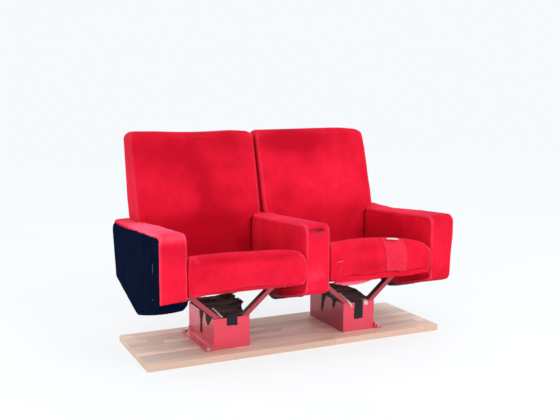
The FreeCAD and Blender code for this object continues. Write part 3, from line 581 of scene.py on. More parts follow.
def red_metal(name="metallic_red", struts=False):
    """Metallic red enamel: flakes, soft orange peel, dust, a paler band just above the board and small chips.
    The struts are darker, with black sides and paler pink edges that are partly rubbed paint and partly a
    painted highlight, and the left side of the right box lies in painted shade."""
    f = Finish(name)
    paint, = colours("base", "paint")
    flake = f.noise(2600.0, 1.0, 0.5)
    peel = f.noise(180.0, 2.0, 0.5)
    dust = f.noise(9.0, 5.0, 0.65)
    chips = f.noise(55.0, 6.0, 0.75)
    light = (min(1, paint[0] * 1.25 + 0.05), paint[1] * 1.5, paint[2] * 1.5)
    colour = f.mix(paint, light, flake.step(0.5, 0.72))
    # Pale pink: dust patches, and a paler band just above the board
    dust_and_low_band = dust.step(0.45, 0.8) * 0.22 + f.up.near(0.03, 0.03) * 0.15
    colour = f.mix(colour, (0.7, 0.26, 0.33), dust_and_low_band.held())
    colour = f.mix(colour, (0.045, 0.02, 0.02), chips.step(0.74, 0.77) * 0.85)
    metallic = chips.step(0.73, 0.76, 0.45, 0.1)
    if struts:
        facing = f.node("ShaderNodeSeparateXYZ", values={0: f.node("ShaderNodeTexCoord", output="Normal")},
                        output="Y").math("ABSOLUTE")
        side = facing.step(0.55, 0.8, 1.0, 0.0)
        colour = f.mix(colour, shaded(paint, 0.45), 0.8)
        # Paler pink along the strut edges: partly rubbed paint, partly a painted highlight
        colour = f.mix(colour, (0.7, 0.4, 0.46), f.edge() * 0.5)
        colour = f.mix(colour, (0.018, 0.012, 0.015), side)
        metallic = metallic * (1 - side)
    else:
        # Painted shade on the left side of the right box
        box_side = 0.2205
        shade = f.across.near(box_side, 0.004).step(0.0, 0.5)
        colour = f.mix(colour, (0.12, 0.008, 0.022), shade * 0.62)
    f.bumps((peel, 0.08, 0.0008), (chips.step(0.73, 0.76, 1.0, 0.0), 0.3, 0.0003), (flake, 0.04, 0.0002))
    return f.done(Base_Color=colour, Roughness=dust.step(0.3, 0.75, 0.26, 0.46), Metallic=metallic,
                  Coat_Weight=dust.step(0.4, 0.8, 0.7, 0.3), Coat_Roughness=0.1)


def dark_steel():
    """Black enamelled steel with rubbed grey patches."""
    f = Finish("black_enamel")
    rub = f.noise(35.0, 5.0, 0.7)
    colour = f.mix((0.018, 0.018, 0.021), (0.16, 0.155, 0.15), rub.step(0.62, 0.78) * 0.5)
    f.bumps((f.noise(300.0, 2.0), 0.12, 0.0004), (rub, 0.05, 0.001))
    return f.done(Base_Color=colour, Roughness=rub.step(0.35, 0.75, 0.35, 0.6),
                  Metallic=rub.step(0.62, 0.78, 0.0, 0.6))


def zinc():
    """Zinc plate with a faint yellow bloom and dull spots."""
    f = Finish("zinc_plate")
    bloom = f.noise(60.0, 4.0, 0.6)
    spots = f.noise(420.0, 2.0, 0.6)
    colour = f.mix((0.56, 0.56, 0.57), (0.62, 0.56, 0.44), bloom.step(0.4, 0.7))
    colour = f.mix(colour, (0.3, 0.29, 0.28), spots.step(0.62, 0.75) * 0.6)
    f.bumps((spots, 0.1, 0.0002), (bloom, 0.05, 0.0005))
    return f.done(Base_Color=colour, Roughness=bloom.step(0.3, 0.7, 0.28, 0.5),
                  Metallic=spots.step(0.62, 0.8, 1.0, 0.7))


def moulded(name, colour, rough):
    """Moulded nylon or rubber with a fine spark-eroded grain and handling marks."""
    f = Finish(name)
    grain = f.noise(800.0, 2.0, 0.5)
    marks = f.noise(40.0, 4.0, 0.6)
    shade = f.mix(colour, shaded(colour, 0.7, 0.01), marks.step(0.45, 0.75) * 0.5)
    f.bumps((grain, 0.2, 0.0003), (marks, 0.05, 0.001))
    return f.done(Base_Color=shade, Roughness=marks.step(0.3, 0.7, rough, rough + 0.12))


def board_wood():
    """Edge-glued hardwood staves along the row: each stave has its own tone and its own grain, staves end at
    butt joints, and the ends show end grain."""
    f = Finish("laminated_board")
    wood, = colours("base", "wood")
    stave_width, stave_length = 0.042, 0.46
    row = f.behind * (1 / stave_width) + 0.31
    lane = row.math("FLOOR")
    place = f.across * (1 / stave_length) + (lane * 12.9898).math("SINE") * 0.37
    bay = place.math("FLOOR")
    tone = ((lane * 7.13 + bay * 3.71).math("SINE") * 43758.5).math("FRACT")
    odd = ((lane * 3.17 + bay * 9.7).math("SINE") * 24634.6).math("FRACT")
    along = {0: f.across * 1.2 + tone * 9.0, 1: f.behind * 22.0 + odd * 31.0, 2: f.up * 22.0}
    figure = f.noise(2.2, 5.0, 0.6, f.node("ShaderNodeCombineXYZ", None, along), 1.2)
    close = {0: f.across * 55.0 + odd * 50.0, 1: f.behind * 900.0, 2: f.up * 900.0}
    pores = f.noise(1.0, 3.0, 0.6, f.node("ShaderNodeCombineXYZ", None, close))
    pale = shaded(wood, 1.28)
    brown = shaded(wood, 0.6)
    side_brown = tuple(c * s for c, s in zip(wood, (0.8, 0.62, 0.5)))
    seam = row.math("FRACT").near(0.0, 0.022).math("MAXIMUM", place.math("FRACT").near(0.0, 0.0022))
    colour = f.mix(pale, wood, tone)
    for over, share in ((brown, odd.step(0.55, 1.0) * 0.45), (brown, figure.step(0.45, 0.72) * 0.38),
                        (shaded(wood, 0.4), pores.step(0.6, 0.75) * 0.32),
                        (side_brown, f.up.step(0.0258, 0.0245) * 0.6),
                        (shaded(wood, 0.3), seam * 0.75)):
        colour = f.mix(colour, over, share)
    f.bumps((pores, 0.14, 0.0005), (1 - seam, 0.25, 0.0006))
    return f.done(Base_Color=colour, Roughness=figure.step(0.3, 0.7, 0.42, 0.58))


def core_timber():
    """Plain sawn softwood and plywood edges: long growth lines and a little fuzz."""
    f = Finish("sawn_timber")
    rings = f.noise(3.0, 4.0, 0.6, f.moved((20.0, 2.0, 24.0)), 0.8)
    fuzz = f.noise(500.0, 2.0, 0.6)
    colour = f.mix((0.62, 0.43, 0.25), (0.42, 0.25, 0.12), rings.step(0.42, 0.68))
    colour = f.mix(colour, (0.3, 0.2, 0.12), fuzz.step(0.6, 0.8) * 0.3)
    f.bumps((rings, 0.15, 0.0008), (fuzz, 0.15, 0.0004))
    return f.done(Base_Color=colour, Roughness=rings.step(0.3, 0.7, 0.65, 0.8))


# ---------------------------------------------------------------- soft pieces

ARM_FRONT, ARM_REAR = -0.328, 0.404
ARM_EDGE = 0.009                 # radius along the long edges of an armrest
WITHIN = 0.0006                  # a cover keeps this far inside the sides of its solid


def arm_corners(drop=0.0, front=0.0):
    """Side outline of an armrest as (behind, up, radius) corners; the drop lowers the end panel's top."""
    return [(ARM_FRONT + front, 0.262, 0.028), (0.0, 0.174, 0.08), (0.345, 0.264, 0.02),
            (ARM_REAR - drop / 3, 0.524 - drop, 0.035), (0.15, 0.5175 - drop, 0.9),
            (ARM_FRONT + front, 0.543 - drop, 0.035)]


def arm_sag(name, behind):
    """How far the worn left armrest's top has sunk towards its rear end."""
    return 0.013 * smooth(behind, 0.02, 0.38) * (name == "left")


def arm_top(name, behind):
    """Height of an armrest's top: it falls to its lowest place and rises again behind it."""
    past = behind - 0.15
    return 0.5182 + np.where(past < 0, -past * 0.0533, past * 0.0256) - arm_sag(name, behind)


def chin(name, side, behind, up):
    """How far an armrest's lower front corner is drawn up, on the left one more towards its inner side."""
    corner = fade(behind, ARM_FRONT, -0.27) * fade(up, 0.25, 0.34)
    return corner * (0.007 + 0.0065 * side if name == "left" else 0.002)


def fold(points, line, depth):
    """A crease beside a ridge along a line given as (behind, up) points on an armrest's inner side: a valley
    of the depth on the line and a swell of the same height 6 mm above it."""
    line = np.array(sorted(line))
    _, behind, up = axes(points)
    away = up - np.interp(behind, line[:, 0], line[:, 1])
    start, end = line[0, 0], line[-1, 0]
    within = smooth(behind, start - 0.02, start + 0.03) * fade(behind, end - 0.02, end + 0.01)
    return within * depth * (np.exp(-((away - 0.006) / 0.006) ** 2) - np.exp(-(away / 0.003) ** 2))


FOLDS = {
    "middle": [([(0.0245, 0.2057), (-0.08, 0.232), (-0.2675, 0.2943)], 0.0052),
               ([(0.01, 0.198), (-0.08, 0.22), (-0.16, 0.243), (-0.23, 0.268)], 0.0036),
               ([(-0.017, 0.1836), (-0.175, 0.215), (-0.2765, 0.2466)], 0.0048)],
    "right": [([(-0.0535, 0.2629), (-0.2, 0.3), (-0.32, 0.34)], 0.0018),
              ([(-0.0558, 0.1877), (-0.2, 0.225), (-0.323, 0.2619)], 0.005),
              ([(-0.127, 0.2446), (-0.23, 0.268), (-0.343, 0.292)], 0.004)],
    "left": [],
}


def arm_cover(name):
    """Padded armrest: the side outline carried across and rounded over, its sides swelling a little between
    the edges, its surface softly uneven, and its lower sides creased where the cloth hangs loose."""
    low, high = extent(f"armrest_{name}")
    number = ARMS.index(name)
    points = slab(arm_corners(), low[0] + WITHIN, high[0] - WITHIN, ARM_EDGE, ARM_EDGE, (0.0, 0.37),
                  380, 44, 26, 10)
    x, y, z = axes(points)
    along, behind, up = axes(points.copy())
    mid = (low[0] + high[0]) / 2
    side = np.clip((along - mid) / (high[0] - mid), -1, 1)
    swell = smooth(behind, ARM_FRONT, ARM_FRONT + 0.1) * fade(behind, 0.25, 0.4)
    swell = swell * smooth(up, 0.19, 0.27) * fade(up, 0.46, 0.53) * chosen("shape").arm_fullness
    x += np.sign(side) * (np.abs(side) > 0.97) * swell
    z += smooth(up, 0.49, 0.52) * (0.0032 * (1 - side ** 2) + 0.001 * ripple(points, 0.09, 3 + number))
    z -= smooth(up, 0.36, 0.5) * arm_sag(name, behind)
    y -= fade(behind, ARM_FRONT, ARM_FRONT + 0.03) * 0.0022 * (1 - side ** 2)
    z += chin(name, side, behind, up)
    z -= 0.0014 * fade(up, 0.268, 0.3) * smooth(behind, -0.318, -0.285)
    if name == "right":
        lean = 0.0085 * smooth(up, 0.34, 0.47) + 0.0015 - 0.003 * fade(up, 0.27, 0.34)
        x += smooth(side, 0.2, 1.0) * lean
        z += smooth(side, 0.5, 1.0) * smooth(up, 0.49, 0.53) * 0.0045 * fade(behind, -0.1, 0.15)
    if name == "left":
        x -= smooth(-side, 0.6, 1.0) * 0.0055 * fade(behind, ARM_FRONT + 0.009, ARM_FRONT + 0.013)
    for line, deep in FOLDS[name]:
        x -= (side < -0.97) * fold(points, line, deep)
    points += 0.0007 * ripple(points, 0.06, 11 + number)[..., None] * np.array([1.0, 0.3, 0.3])
    return skin(f"arm_cover_{name}", points)


def under_wrap(name, start, end, rise, sag, wavy):
    """Cloth pulled round an armrest's underside. A path follows the outline from start to end, both measured
    along it from the front edge; across it the cloth turns up both sides by the rise. It hangs down by the
    sag at its middle and its edges wander."""
    low, high = extent(f"armrest_{name}")
    if name == "left":
        low = low - [0.0068, 0, 0]
    outline, normal = loop(arm_corners(), 900)
    begin = np.argmin(np.hypot(outline[:, 0] - ARM_FRONT, outline[:, 1] - 0.4))
    outline, normal = np.roll(outline, -begin, axis=0), np.roll(normal, -begin, axis=0)
    if outline[20, 1] > outline[0, 1]:
        outline, normal = outline[::-1], normal[::-1]
    along = run_of(outline)
    spots = np.linspace(start, end, 110)
    base, out = at(spots, along, outline), at(spots, along, normal)
    out /= np.linalg.norm(out, axis=1)[:, None]
    half = (high[0] - low[0]) / 2 + WITHIN
    flat = half - ARM_EDGE
    turn = ARM_EDGE * math.pi / 2
    course = np.linspace(-(flat + turn + rise), flat + turn + rise, 61)
    past = np.clip(np.abs(course) - flat, 0, turn) / ARM_EDGE
    climb = np.clip(np.abs(course) - flat - turn, 0, None)
    across = np.sign(course) * (np.minimum(np.abs(course), flat) + ARM_EDGE * np.sin(past))
    inward = ARM_EDGE * (1 - np.cos(past)) + climb
    share = np.linspace(0, 1, len(spots))[:, None]
    edges = (np.abs(course) / course[-1])[None]
    hang = sag * np.sin(math.pi * share) ** 0.7 * np.cos(across / half * 1.2)[None]
    place = base[:, None] + out[:, None] * (0.0032 + hang - inward[None])[..., None]
    points = np.stack([np.broadcast_to(across + (low[0] + high[0]) / 2, place.shape[:2]), place[..., 0],
                       place[..., 1]], axis=-1)
    _, y, z = axes(points)
    wander = wavy * ripple(points, 0.05, 71 + ARMS.index(name))
    tail = share ** 6 + (1 - share) ** 8
    y += wander * tail * np.abs(out[:, None, 1])
    z += wander * (edges ** 8 + tail * np.abs(out[:, None, 0]))
    z += chin(name, np.clip(across / half, -1, 1)[None], y, z)
    z -= 0.0012 * np.abs(ripple(points, 0.045, 75)) * (edges < 0.8)
    wrap = sheet_of(f"under_wrap_{name}", points, 0.0012)
    return declared(wrap, points)


class SEAT_OT_arms(bpy.types.Operator):
    """Builds the three padded armrests, the navy end panel and the cloth under the armrests"""
    bl_idname = "seat.arms"
    bl_label = "Armrests"

    def execute(self, context):
        def smudge(f, colour):
            """Dark grease along the front of the middle armrest's top, with a faint bloom below it."""
            line = f.up.near(0.5215, 0.014) * f.across.near(-0.007, 0.049).step(0.0, 0.4)
            specks = f.noise(150.0, 4.0, 0.8, f.moved((0.35, 1.0, 1.0)))
            front = f.behind.step(-0.29, -0.32)
            bloom = f.up.near(0.505, 0.045) * f.across.near(0.0, 0.055) * front
            colour = f.mix(colour, (0.42, 0.02, 0.055), (bloom * specks.step(0.3, 0.6) * 0.55).held())
            grease = line * (specks.step(0.36, 0.6) * 0.75 + 0.12) * front
            return f.mix(colour, (0.06, 0.004, 0.012), grease.held())

        details = {
            # left: a lighter front face, and painted light on the lit top, where the pile also stands up
            "left": dict(shift=(3.1, 0.2, 0.0), base=-0.1,
                         lights=[((-0.6, -0.33, 0.34), (None, 0.05, 0.16), 0.25),
                                 ((-0.6, 0.0, 0.53), (None, 0.6, 0.035), 2.6)]),
            # middle: painted shade on the side beside the left seat, most low down; lighter front; painted
            # light on top
            "middle": dict(shift=(7.4, 1.2, 0.4), marks=smudge, base=0.0,
                           shades=[((-0.05, 0.02, 0.36), (0.03, 0.34, 0.2), 0.65),
                                   ((-0.05, -0.12, 0.235), (0.03, 0.24, 0.055), 0.8)],
                           lights=[((0.0, -0.33, 0.36), (None, 0.05, 0.2), 0.55),
                                   ((0.0, 0.06, 0.53), (None, 0.36, 0.03), 0.6)]),
            # right: painted shade on the side beside the right seat, most low down; lighter front; painted
            # light on top
            "right": dict(shift=(1.4, 5.2, 2.4), base=-0.1,
                          shades=[((0.55, 0.02, 0.4), (0.03, 0.4, 0.2), 0.75),
                                  ((0.55, -0.16, 0.255), (0.03, 0.22, 0.06), 0.8)],
                          lights=[((0.6, -0.33, 0.38), (None, 0.05, 0.18), 0.35),
                                  ((0.6, 0.05, 0.53), (None, 0.35, 0.03), 0.5)]),
        }
        for name in ARMS:
            cover = arm_cover(name)
            add_edges(cover, 20, 75)
            material = velvet(f"velvet_arm_{name}", **details[name])
            dress(cover, "frame", material, [f"armrest_{name}"])

        low, high = extent("end_panel_left")
        points = slab(arm_corners(0.015, 0.012), low[0], high[0] + 0.002, 0.0045, 0.001, (0.0, 0.36),
                      380, 40, 5, 6)
        x, y, z = axes(points)
        x += (x < high[0]) * 0.0008 * ripple(points, 0.11, 21)
        z += 0.0022 * ripple(points, 0.05, 23) * smooth(z, 0.46, 0.52)
        z -= smooth(z, 0.36, 0.5) * arm_sag("left", y)
        z -= smooth(y, -0.16, 0.05) * fade(z, 0.22, 0.4) * 0.007
        panel = skin("end_panel_cover", points)
        add_edges(panel, 60, 220)
        navy = navy_velvet()
        dress(panel, "frame", navy, ["end_panel_left"])
        black = woven("black_lining", (0.01, 0.009, 0.012), 1100.0, 0.85, 0.2)
        for name, run, shape, material, slot in (
                ("left", (0.117, 0.55), (0.004, 0.009, 0.0012), navy, "navy_velvet"),
                ("middle", (0.37, 0.78), (0.016, 0.003, 0.005), black, "black_cloth"),
                ("right", (0.36, 0.78), (0.006, 0.004, 0.005), black, "black_cloth")):
            dress(under_wrap(name, *run, *shape), "frame", material)
        return {"FINISHED"}


def navy_velvet():
    """Navy velvet brushed upright: thin vertical strokes, lint, a pale scratch and a speck."""
    f = Finish("velvet_navy")
    navy, = colours("velvet", "navy")
    strokes = f.noise(42.0, 3.0, 0.6, f.moved((1.0, 2.0, 0.14)), 0.3)
    clouds = f.noise(7.0, 3.0, 0.5)
    pile = f.noise(1100.0, 2.0, 0.6)
    colour = f.mix(navy, shaded(navy, 2.6, 0.002),
                   (strokes.step(0.5, 0.8) * (clouds.step(0.35, 0.6) * 0.7 + 0.1)).held())
    colour = f.mix(colour, shaded(navy, 0.45), clouds.step(0.45, 0.7) * 0.6)
    scratch = f.behind.near(-0.236, 0.0035) * f.up.near(0.405, 0.026).step(0.0, 0.3) \
        * f.noise(300.0, 2.0).step(0.42, 0.55)
    speck = f.behind.near(-0.232, 0.004) * f.up.near(0.285, 0.004)
    lint = f.noise(260.0, 2.0, 0.5).step(0.74, 0.8) * 0.1
    # The small edge share lightens tight bends: partly wear, partly a painted highlight
    colour = f.mix(colour, (0.24, 0.3, 0.4), (scratch * 0.7 + speck * 0.9 + lint + f.edge() * 0.04).held())
    f.bumps((pile, 0.3, 0.0006), (strokes, 0.2, 0.0015))
    return f.done(Base_Color=colour, Roughness=pile.step(0.3, 0.7, 0.85, 0.97), Sheen_Weight=0.012,
                  Sheen_Roughness=0.35, Sheen_Tint=(0.1, 0.35, 1.0), Specular_IOR_Level=0.01)


CRESTS = {
    "left": [(-0.245, 0.463), (-0.2, 0.4625), (-0.154, 0.4635), (-0.04, 0.464), (0.076, 0.46),
             (0.14, 0.457), (0.19, 0.452), (0.222, 0.444), (0.24, 0.433)],
    "right": [(-0.245, 0.4665), (-0.211, 0.469), (-0.155, 0.4745), (-0.075, 0.4765), (0.002, 0.4735),
              (0.076, 0.466), (0.135, 0.457), (0.185, 0.446), (0.222, 0.433), (0.24, 0.421)],
}
HEMS = {
    "left": [(-0.247, 0.3), (-0.207, 0.3025), (-0.127, 0.3095), (-0.067, 0.313), (0.013, 0.3165),
             (0.1, 0.313), (0.21, 0.307), (0.24, 0.3045)],
    "right": [(-0.247, 0.306), (-0.1, 0.311), (0.0, 0.3155), (0.12, 0.3135), (0.24, 0.3075)],
}
SEAT_FRONT, SEAT_REAR, SEAT_UNDER, SEAT_TOP, SEAT_FALL = -0.345, 0.165, 0.3, 0.456, 0.141
SEAT_HALF = 0.245


def seat_cover(unit):
    """Tip-up cushion: the side profile carried across the seat. Its front edge is raised to a measured crest
    line, the worn sitting surface falls away behind that edge, the front hem arches, and the sides draw in
    between the corners."""
    fall = (SEAT_REAR - SEAT_FRONT) * SEAT_FALL
    nose = 0.022 if unit == "left" else 0.032
    front, rear, under = SEAT_FRONT + 0.001, SEAT_REAR - 0.002, SEAT_UNDER + 0.001
    corners = [(front, under, 0.014), (rear, under, 0.026), (rear, SEAT_TOP - fall, 0.026),
               (front, SEAT_TOP, nose)]
    points = slab(corners, -SEAT_HALF, SEAT_HALF, 0.007, 0.012, (-0.1, 0.37), 320, 30, 90, 9)
    x, y, z = axes(points)
    along, behind, up = axes(points.copy())
    crest, hem = (np.interp(along, *np.array(line[unit]).T) for line in (CRESTS, HEMS))
    share = np.clip((up - SEAT_UNDER) / (SEAT_TOP - (behind - SEAT_FRONT) * SEAT_FALL - SEAT_UNDER), 0, 1.1)
    past = np.clip(behind - SEAT_FRONT - nose * 0.9, 0, None)
    worn = 0.072 * past + 0.009 * (1 - np.exp(-past / 0.04))
    z += share ** 2 * (crest - SEAT_TOP - worn)
    z += (1 - share) ** 2 * fade(behind, SEAT_FRONT + 0.02, SEAT_FRONT + 0.16) * (hem - SEAT_UNDER)
    ends = 1 - (2 * (behind - SEAT_FRONT) / (SEAT_REAR - SEAT_FRONT) - 1) ** 2
    edge = np.clip(np.abs(along) / SEAT_HALF, 0, 1)
    x -= np.sign(along) * edge ** 6 * chosen("shape").seat_pull * ends * share
    front = fade(behind, SEAT_FRONT, SEAT_FRONT + 0.05)
    bulge = np.sin(math.pi * np.clip(share, 0, 1)) * (1 - edge ** 4)
    y += front * (0.004 * edge ** 12 + 0.012 * smooth(-along, 0.205, SEAT_HALF) ** 2 - 0.003 * bulge)
    z += smooth(up, SEAT_UNDER + 0.01, SEAT_UNDER + 0.05) * 0.001 * ripple(points, 0.13, 31 + len(unit))
    y -= front * 0.0008 * ripple(points, 0.09, 37 + len(unit))
    ear = smooth(along, 0.19, SEAT_HALF) * fade(behind, -0.3375, -0.331)
    x += ear * 0.0075 * smooth(share, 0.02, 0.3) * fade(share, 0.6, 1.0)
    if unit == "right":
        low = fade(up, SEAT_UNDER, SEAT_UNDER + 0.05) * front
        z += low * (0.003 * np.sin(along * 41 + 0.6) + 0.0015 * np.sin(along * 113))
        y -= front * 0.0022 * np.sin(along * 57 + up * 25) * (1 - edge ** 4)
        flap = np.exp(-((along + 0.21) / 0.035) ** 2) * np.sin(math.pi * np.clip((up - 0.31) / 0.08, 0, 1))
        y -= front * 0.004 * flap
    x += MIDDLES[unit]
    return skin(f"seat_cover_{unit}", points)


def seat_under(unit):
    """Cloth drawn from the cushion's front hem back under the seat pan: level below the pan and curving up to
    the hem in front of it."""
    low, _ = extent(f"seat_pan_{unit}")
    across = np.linspace(-0.236, 0.236, 60)
    behind = np.linspace(SEAT_FRONT + 0.01, 0.046, 50)
    hem = np.interp(across, *np.array(HEMS[unit]).T)
    climb = fade(behind, SEAT_FRONT + 0.012, low[1] - 0.002)[:, None]
    up = (low[2] - 0.0011) + (hem[None] - low[2] + 0.0045) * climb
    x = across[None] + MIDDLES[unit]
    points = np.stack(np.broadcast_arrays(x, behind[:, None], up), axis=-1)
    points[..., 2] += 0.0006 * ripple(points, 0.06, 81) * climb
    return declared(sheet_of(f"seat_under_{unit}", points, 0.0008), points)


def loose_pieces():
    """Hanging hem, pale lining strip, seam, torn thread and blank tag of the right cushion's loose cover."""
    right, front = MIDDLES["right"], SEAT_FRONT - 0.0035
    cloth = velvet("velvet_hem", shift=(5.0, 2.0, 1.0))
    lining = woven("pale_lining", colours("velvet", "lining")[0], 1400.0, 0.85, 0.2)
    thread = woven("white_thread", (0.46, 0.26, 0.28), 2200.0, 0.8, 0.2)
    tape = woven("tag_tape", (0.54, 0.44, 0.41), 1800.0, 0.8, 0.3)
    hem = [(u, 0.004 + 0.0016 * math.sin(u * 60), 0.3125 + 0.0028 * math.sin(u * 37 + 1))
           for u in np.linspace(-0.235, 0.225, 15)]
    cover = ["seat_cover_right"]
    for name, spots, widths, way, numbers, more, material, slot in (
            ("hem_right", hem, [0.014, 0.022, 0.017, 0.023, 0.016, 0.02, 0.013], (0, 0.16, 0.99),
             (0.0012, 140, 9, 0.003), dict(seed=61, rests=cover), cloth, "red_velvet"),
            ("lining_strip_right", [(-0.232, 0.016, 0.304), (-0.19, 0.012, 0.297), (-0.14, 0.01, 0.296),
                                    (-0.08, 0.011, 0.3), (-0.033, 0.013, 0.308)],
             [0.008, 0.021, 0.024, 0.019, 0.012], (0, 0.22, 0.975),
             (0.001, 90, 9, 0.002), dict(seed=63, rests=cover), lining, None),
            ("curved_seam_right", [(-0.249, 0, 0.316), (-0.252, -0.001, 0.342), (-0.244, -0.002, 0.368),
                                   (-0.222, -0.002, 0.386), (-0.19, -0.001, 0.393)],
             [0.004, 0.0045, 0.0045, 0.004, 0.003], (0.6, 0, -0.8),
             (0.0022, 60, 5, 0.0004), dict(crown=(0, -0.001, 0), seed=65), cloth, "red_velvet"),
            ("torn_thread_right", [(-0.227, -0.003, 0.3885), (-0.212, -0.004, 0.3905),
                                   (-0.195, -0.003, 0.3915)],
             [0.0006, 0.002, 0.0005], (0, -0.2, 1), (0.0006, 24, 5, 0.0005), dict(seed=67), thread, None),
            ("tag_right", [(0.014, 0.014, 0.465), (0.034, 0.0125, 0.464), (0.056, 0.0135, 0.4615),
                           (0.074, 0.015, 0.4585)],
             [0.01, 0.0112, 0.011, 0.01], (0.05, 0.88, 0.42),
             (0.0009, 40, 7, 0.001), dict(seed=69, rests=cover), tape, None)):
        strip = ribbon(name, np.array(spots) + [right, front, 0], widths, way, *numbers, **more)
        dress(strip, "seat_right", material)


class SEAT_OT_cushions(bpy.types.Operator):
    """Builds the two tip-up cushions and what hangs loose on the right one"""
    bl_idname = "seat.cushions"
    bl_label = "Seat cushions"

    def execute(self, context):
        left, right = MIDDLES["left"], MIDDLES["right"]
        deep, = colours("velvet", "deep")

        def loose_cover(f, colour):
            """A coarser worn patch between two seams that run down the front."""
            weave = f.noise(360.0, 3.0, 0.65, f.moved((1.0, 0.5, 0.4)))
            slant = (0.445 - f.up) * 0.105
            from_left = f.across - slant - (right + 0.001)
            from_right = f.across - (0.443 - f.up) * 0.068 - (right + 0.108)
            front = f.behind.step(-0.2, -0.26)
            patch = from_left.step(0.0, 0.002) * from_right.step(0.0, -0.002) * front
            worn = f.mix(colour, (0.88, 0.05, 0.095), weave.step(0.38, 0.62) * 0.35 + 0.25)
            worn = f.mix(worn, deep, weave.step(0.55, 0.3) * 0.22)
            colour = f.mix(colour, worn, patch)
            seam = from_left.near(0.0, 0.0024).math("MAXIMUM", from_right.near(0.0, 0.0018) * 0.5) * front
            return f.mix(colour, (0.2, 0.001, 0.008), seam * 0.75)

        details = {
            "left": dict(shift=(2.0, 0.3, 0.0),
                         shades=[((left - 0.07, -0.34, 0.436), (0.22, 0.07, 0.026), 0.55),
                                 ((left + 0.13, -0.34, 0.43), (0.13, 0.07, 0.024), 0.5)]),
            "right": dict(shift=(9.0, 2.3, 1.0), marks=loose_cover,
                          shades=[((right - 0.04, -0.34, 0.352), (0.1, 0.06, 0.045), 0.5),
                                  ((right - 0.1, -0.34, 0.435), (0.12, 0.07, 0.03), 0.35)]),
        }
        for unit in UNITS:
            under = seat_under(unit)
            cover = seat_cover(unit)
            puffed(cover, 0.006, chosen("shape").puff)
            refine(cover)
            add_edges(cover, 14, 60, 6)
            dress(cover, f"seat_{unit}", velvet(f"velvet_seat_{unit}", **details[unit]),
                  [f"seat_cushion_{unit}"])
            dress(under, f"seat_{unit}", velvet(f"velvet_under_{unit}", shift=(3.0, 7.0, 1.0)))
        loose_pieces()
        return {"FINISHED"}


BACK_LOW, BACK_TOP, KNEE = 0.34, 0.902, 0.522
BACK_FRONT, FRONT_LEAN, BACK_REAR, REAR_LEAN, SHELL = 0.197, 0.248, 0.338, 0.129, 0.027
BETWEEN, WING = 0.2464, 0.5275       # half-width between the armrests; height where the wings start
BACK_HEART = np.array([0.0, 0.64])   # a point that sees the whole outline
WING_REACH = 0.29


def back_corners():
    """Front outline of a backrest as (across, up, radius) corners: narrow below, wings above the armrests."""
    right = [(BETWEEN, BACK_LOW + 0.001, 0.015), (BETWEEN, WING, 0.0005), (0.287, WING, 0.006),
             (0.2952, BACK_TOP - 0.001, 0.036)]
    return right + [(-across, up, radius) for across, up, radius in reversed(right)]


def bent(height, near, lean):
    """Upright below the knee and leaning above it, with an easy bend: the height above the knee is rounded
    off as half the sum of itself and the length of itself and a small constant at right angles."""
    above = height - KNEE
    return near + lean * (above + np.sqrt(above ** 2 + 0.03 ** 2)) / 2


def back_rings(count, share):
    """A backrest's outline drawn in towards its heart by shares: sideways and upward coordinates of rings."""
    outline, _ = loop(back_corners(), count)
    return axes(BACK_HEART + (outline - BACK_HEART)[None] * share[:, None, None])


def arc(share, radius):
    """How deep a quarter circle lies at a share of the way over it, from 0 to 1."""
    return radius * (1 - np.sqrt(1 - share ** 2))


SAGS = {
    "left": [(-0.296, 9), (-0.243, 6), (-0.153, 7), (-0.062, 11), (0.031, 12), (0.127, 9), (0.2, 6),
             (0.25, 8), (0.296, 10)],
    "right": [(-0.296, 7), (-0.25, 6), (-0.173, 5), (-0.068, 3.5), (0.04, 1.5), (0.15, 0.5), (0.2, 0.8),
              (0.25, 4), (0.296, 9)],
}
LEANS = {
    "left": [(-1, (0.527, 0.535, 0.6, 0.68, 0.9), (0.0, -0.005, -0.008, -0.0065, -0.004)),
             (1, (0.53, 0.9), (-0.001, -0.009))],
    "right": [(-1, (0.527, 0.535, 0.6, 0.9), (0.0, -0.006, -0.009, -0.008)),
              (1, (0.527, 0.54, 0.62, 0.8, 0.9), (0.0, -0.003, -0.007, -0.017, -0.027))],
}


def settle_back(unit, points):
    """Lets a backrest sit as the worn one does: the top edge sags by millimetres, the wings come down onto
    the rounded armrests, and each side stands a little out or in towards the top."""
    side, behind, up = axes(points.copy())
    x, _, z = axes(points)
    z -= smooth(up, BACK_TOP - 0.08, BACK_TOP) * np.interp(side, *np.array(SAGS[unit]).T) * 0.001
    wing = smooth(np.abs(side), BETWEEN, 0.2472) * fade(up, 0.5278, 0.575)
    into = np.clip(ARM_EDGE - (np.abs(side) - 0.2463), 0, ARM_EDGE)
    left_arm, right_arm = ("left", "middle") if unit == "left" else ("middle", "right")
    rest = np.where(side < 0, arm_top(left_arm, behind), arm_top(right_arm, behind)) \
        - arc(into / ARM_EDGE, ARM_EDGE) + 0.0008
    z -= wing * np.clip(WING - rest, 0, 0.045)
    for sign, heights, shifts in LEANS[unit]:
        x += np.interp(up, heights, shifts) * smooth(sign * side, 0.1, 0.285)
    x += MIDDLES[unit]
    return points


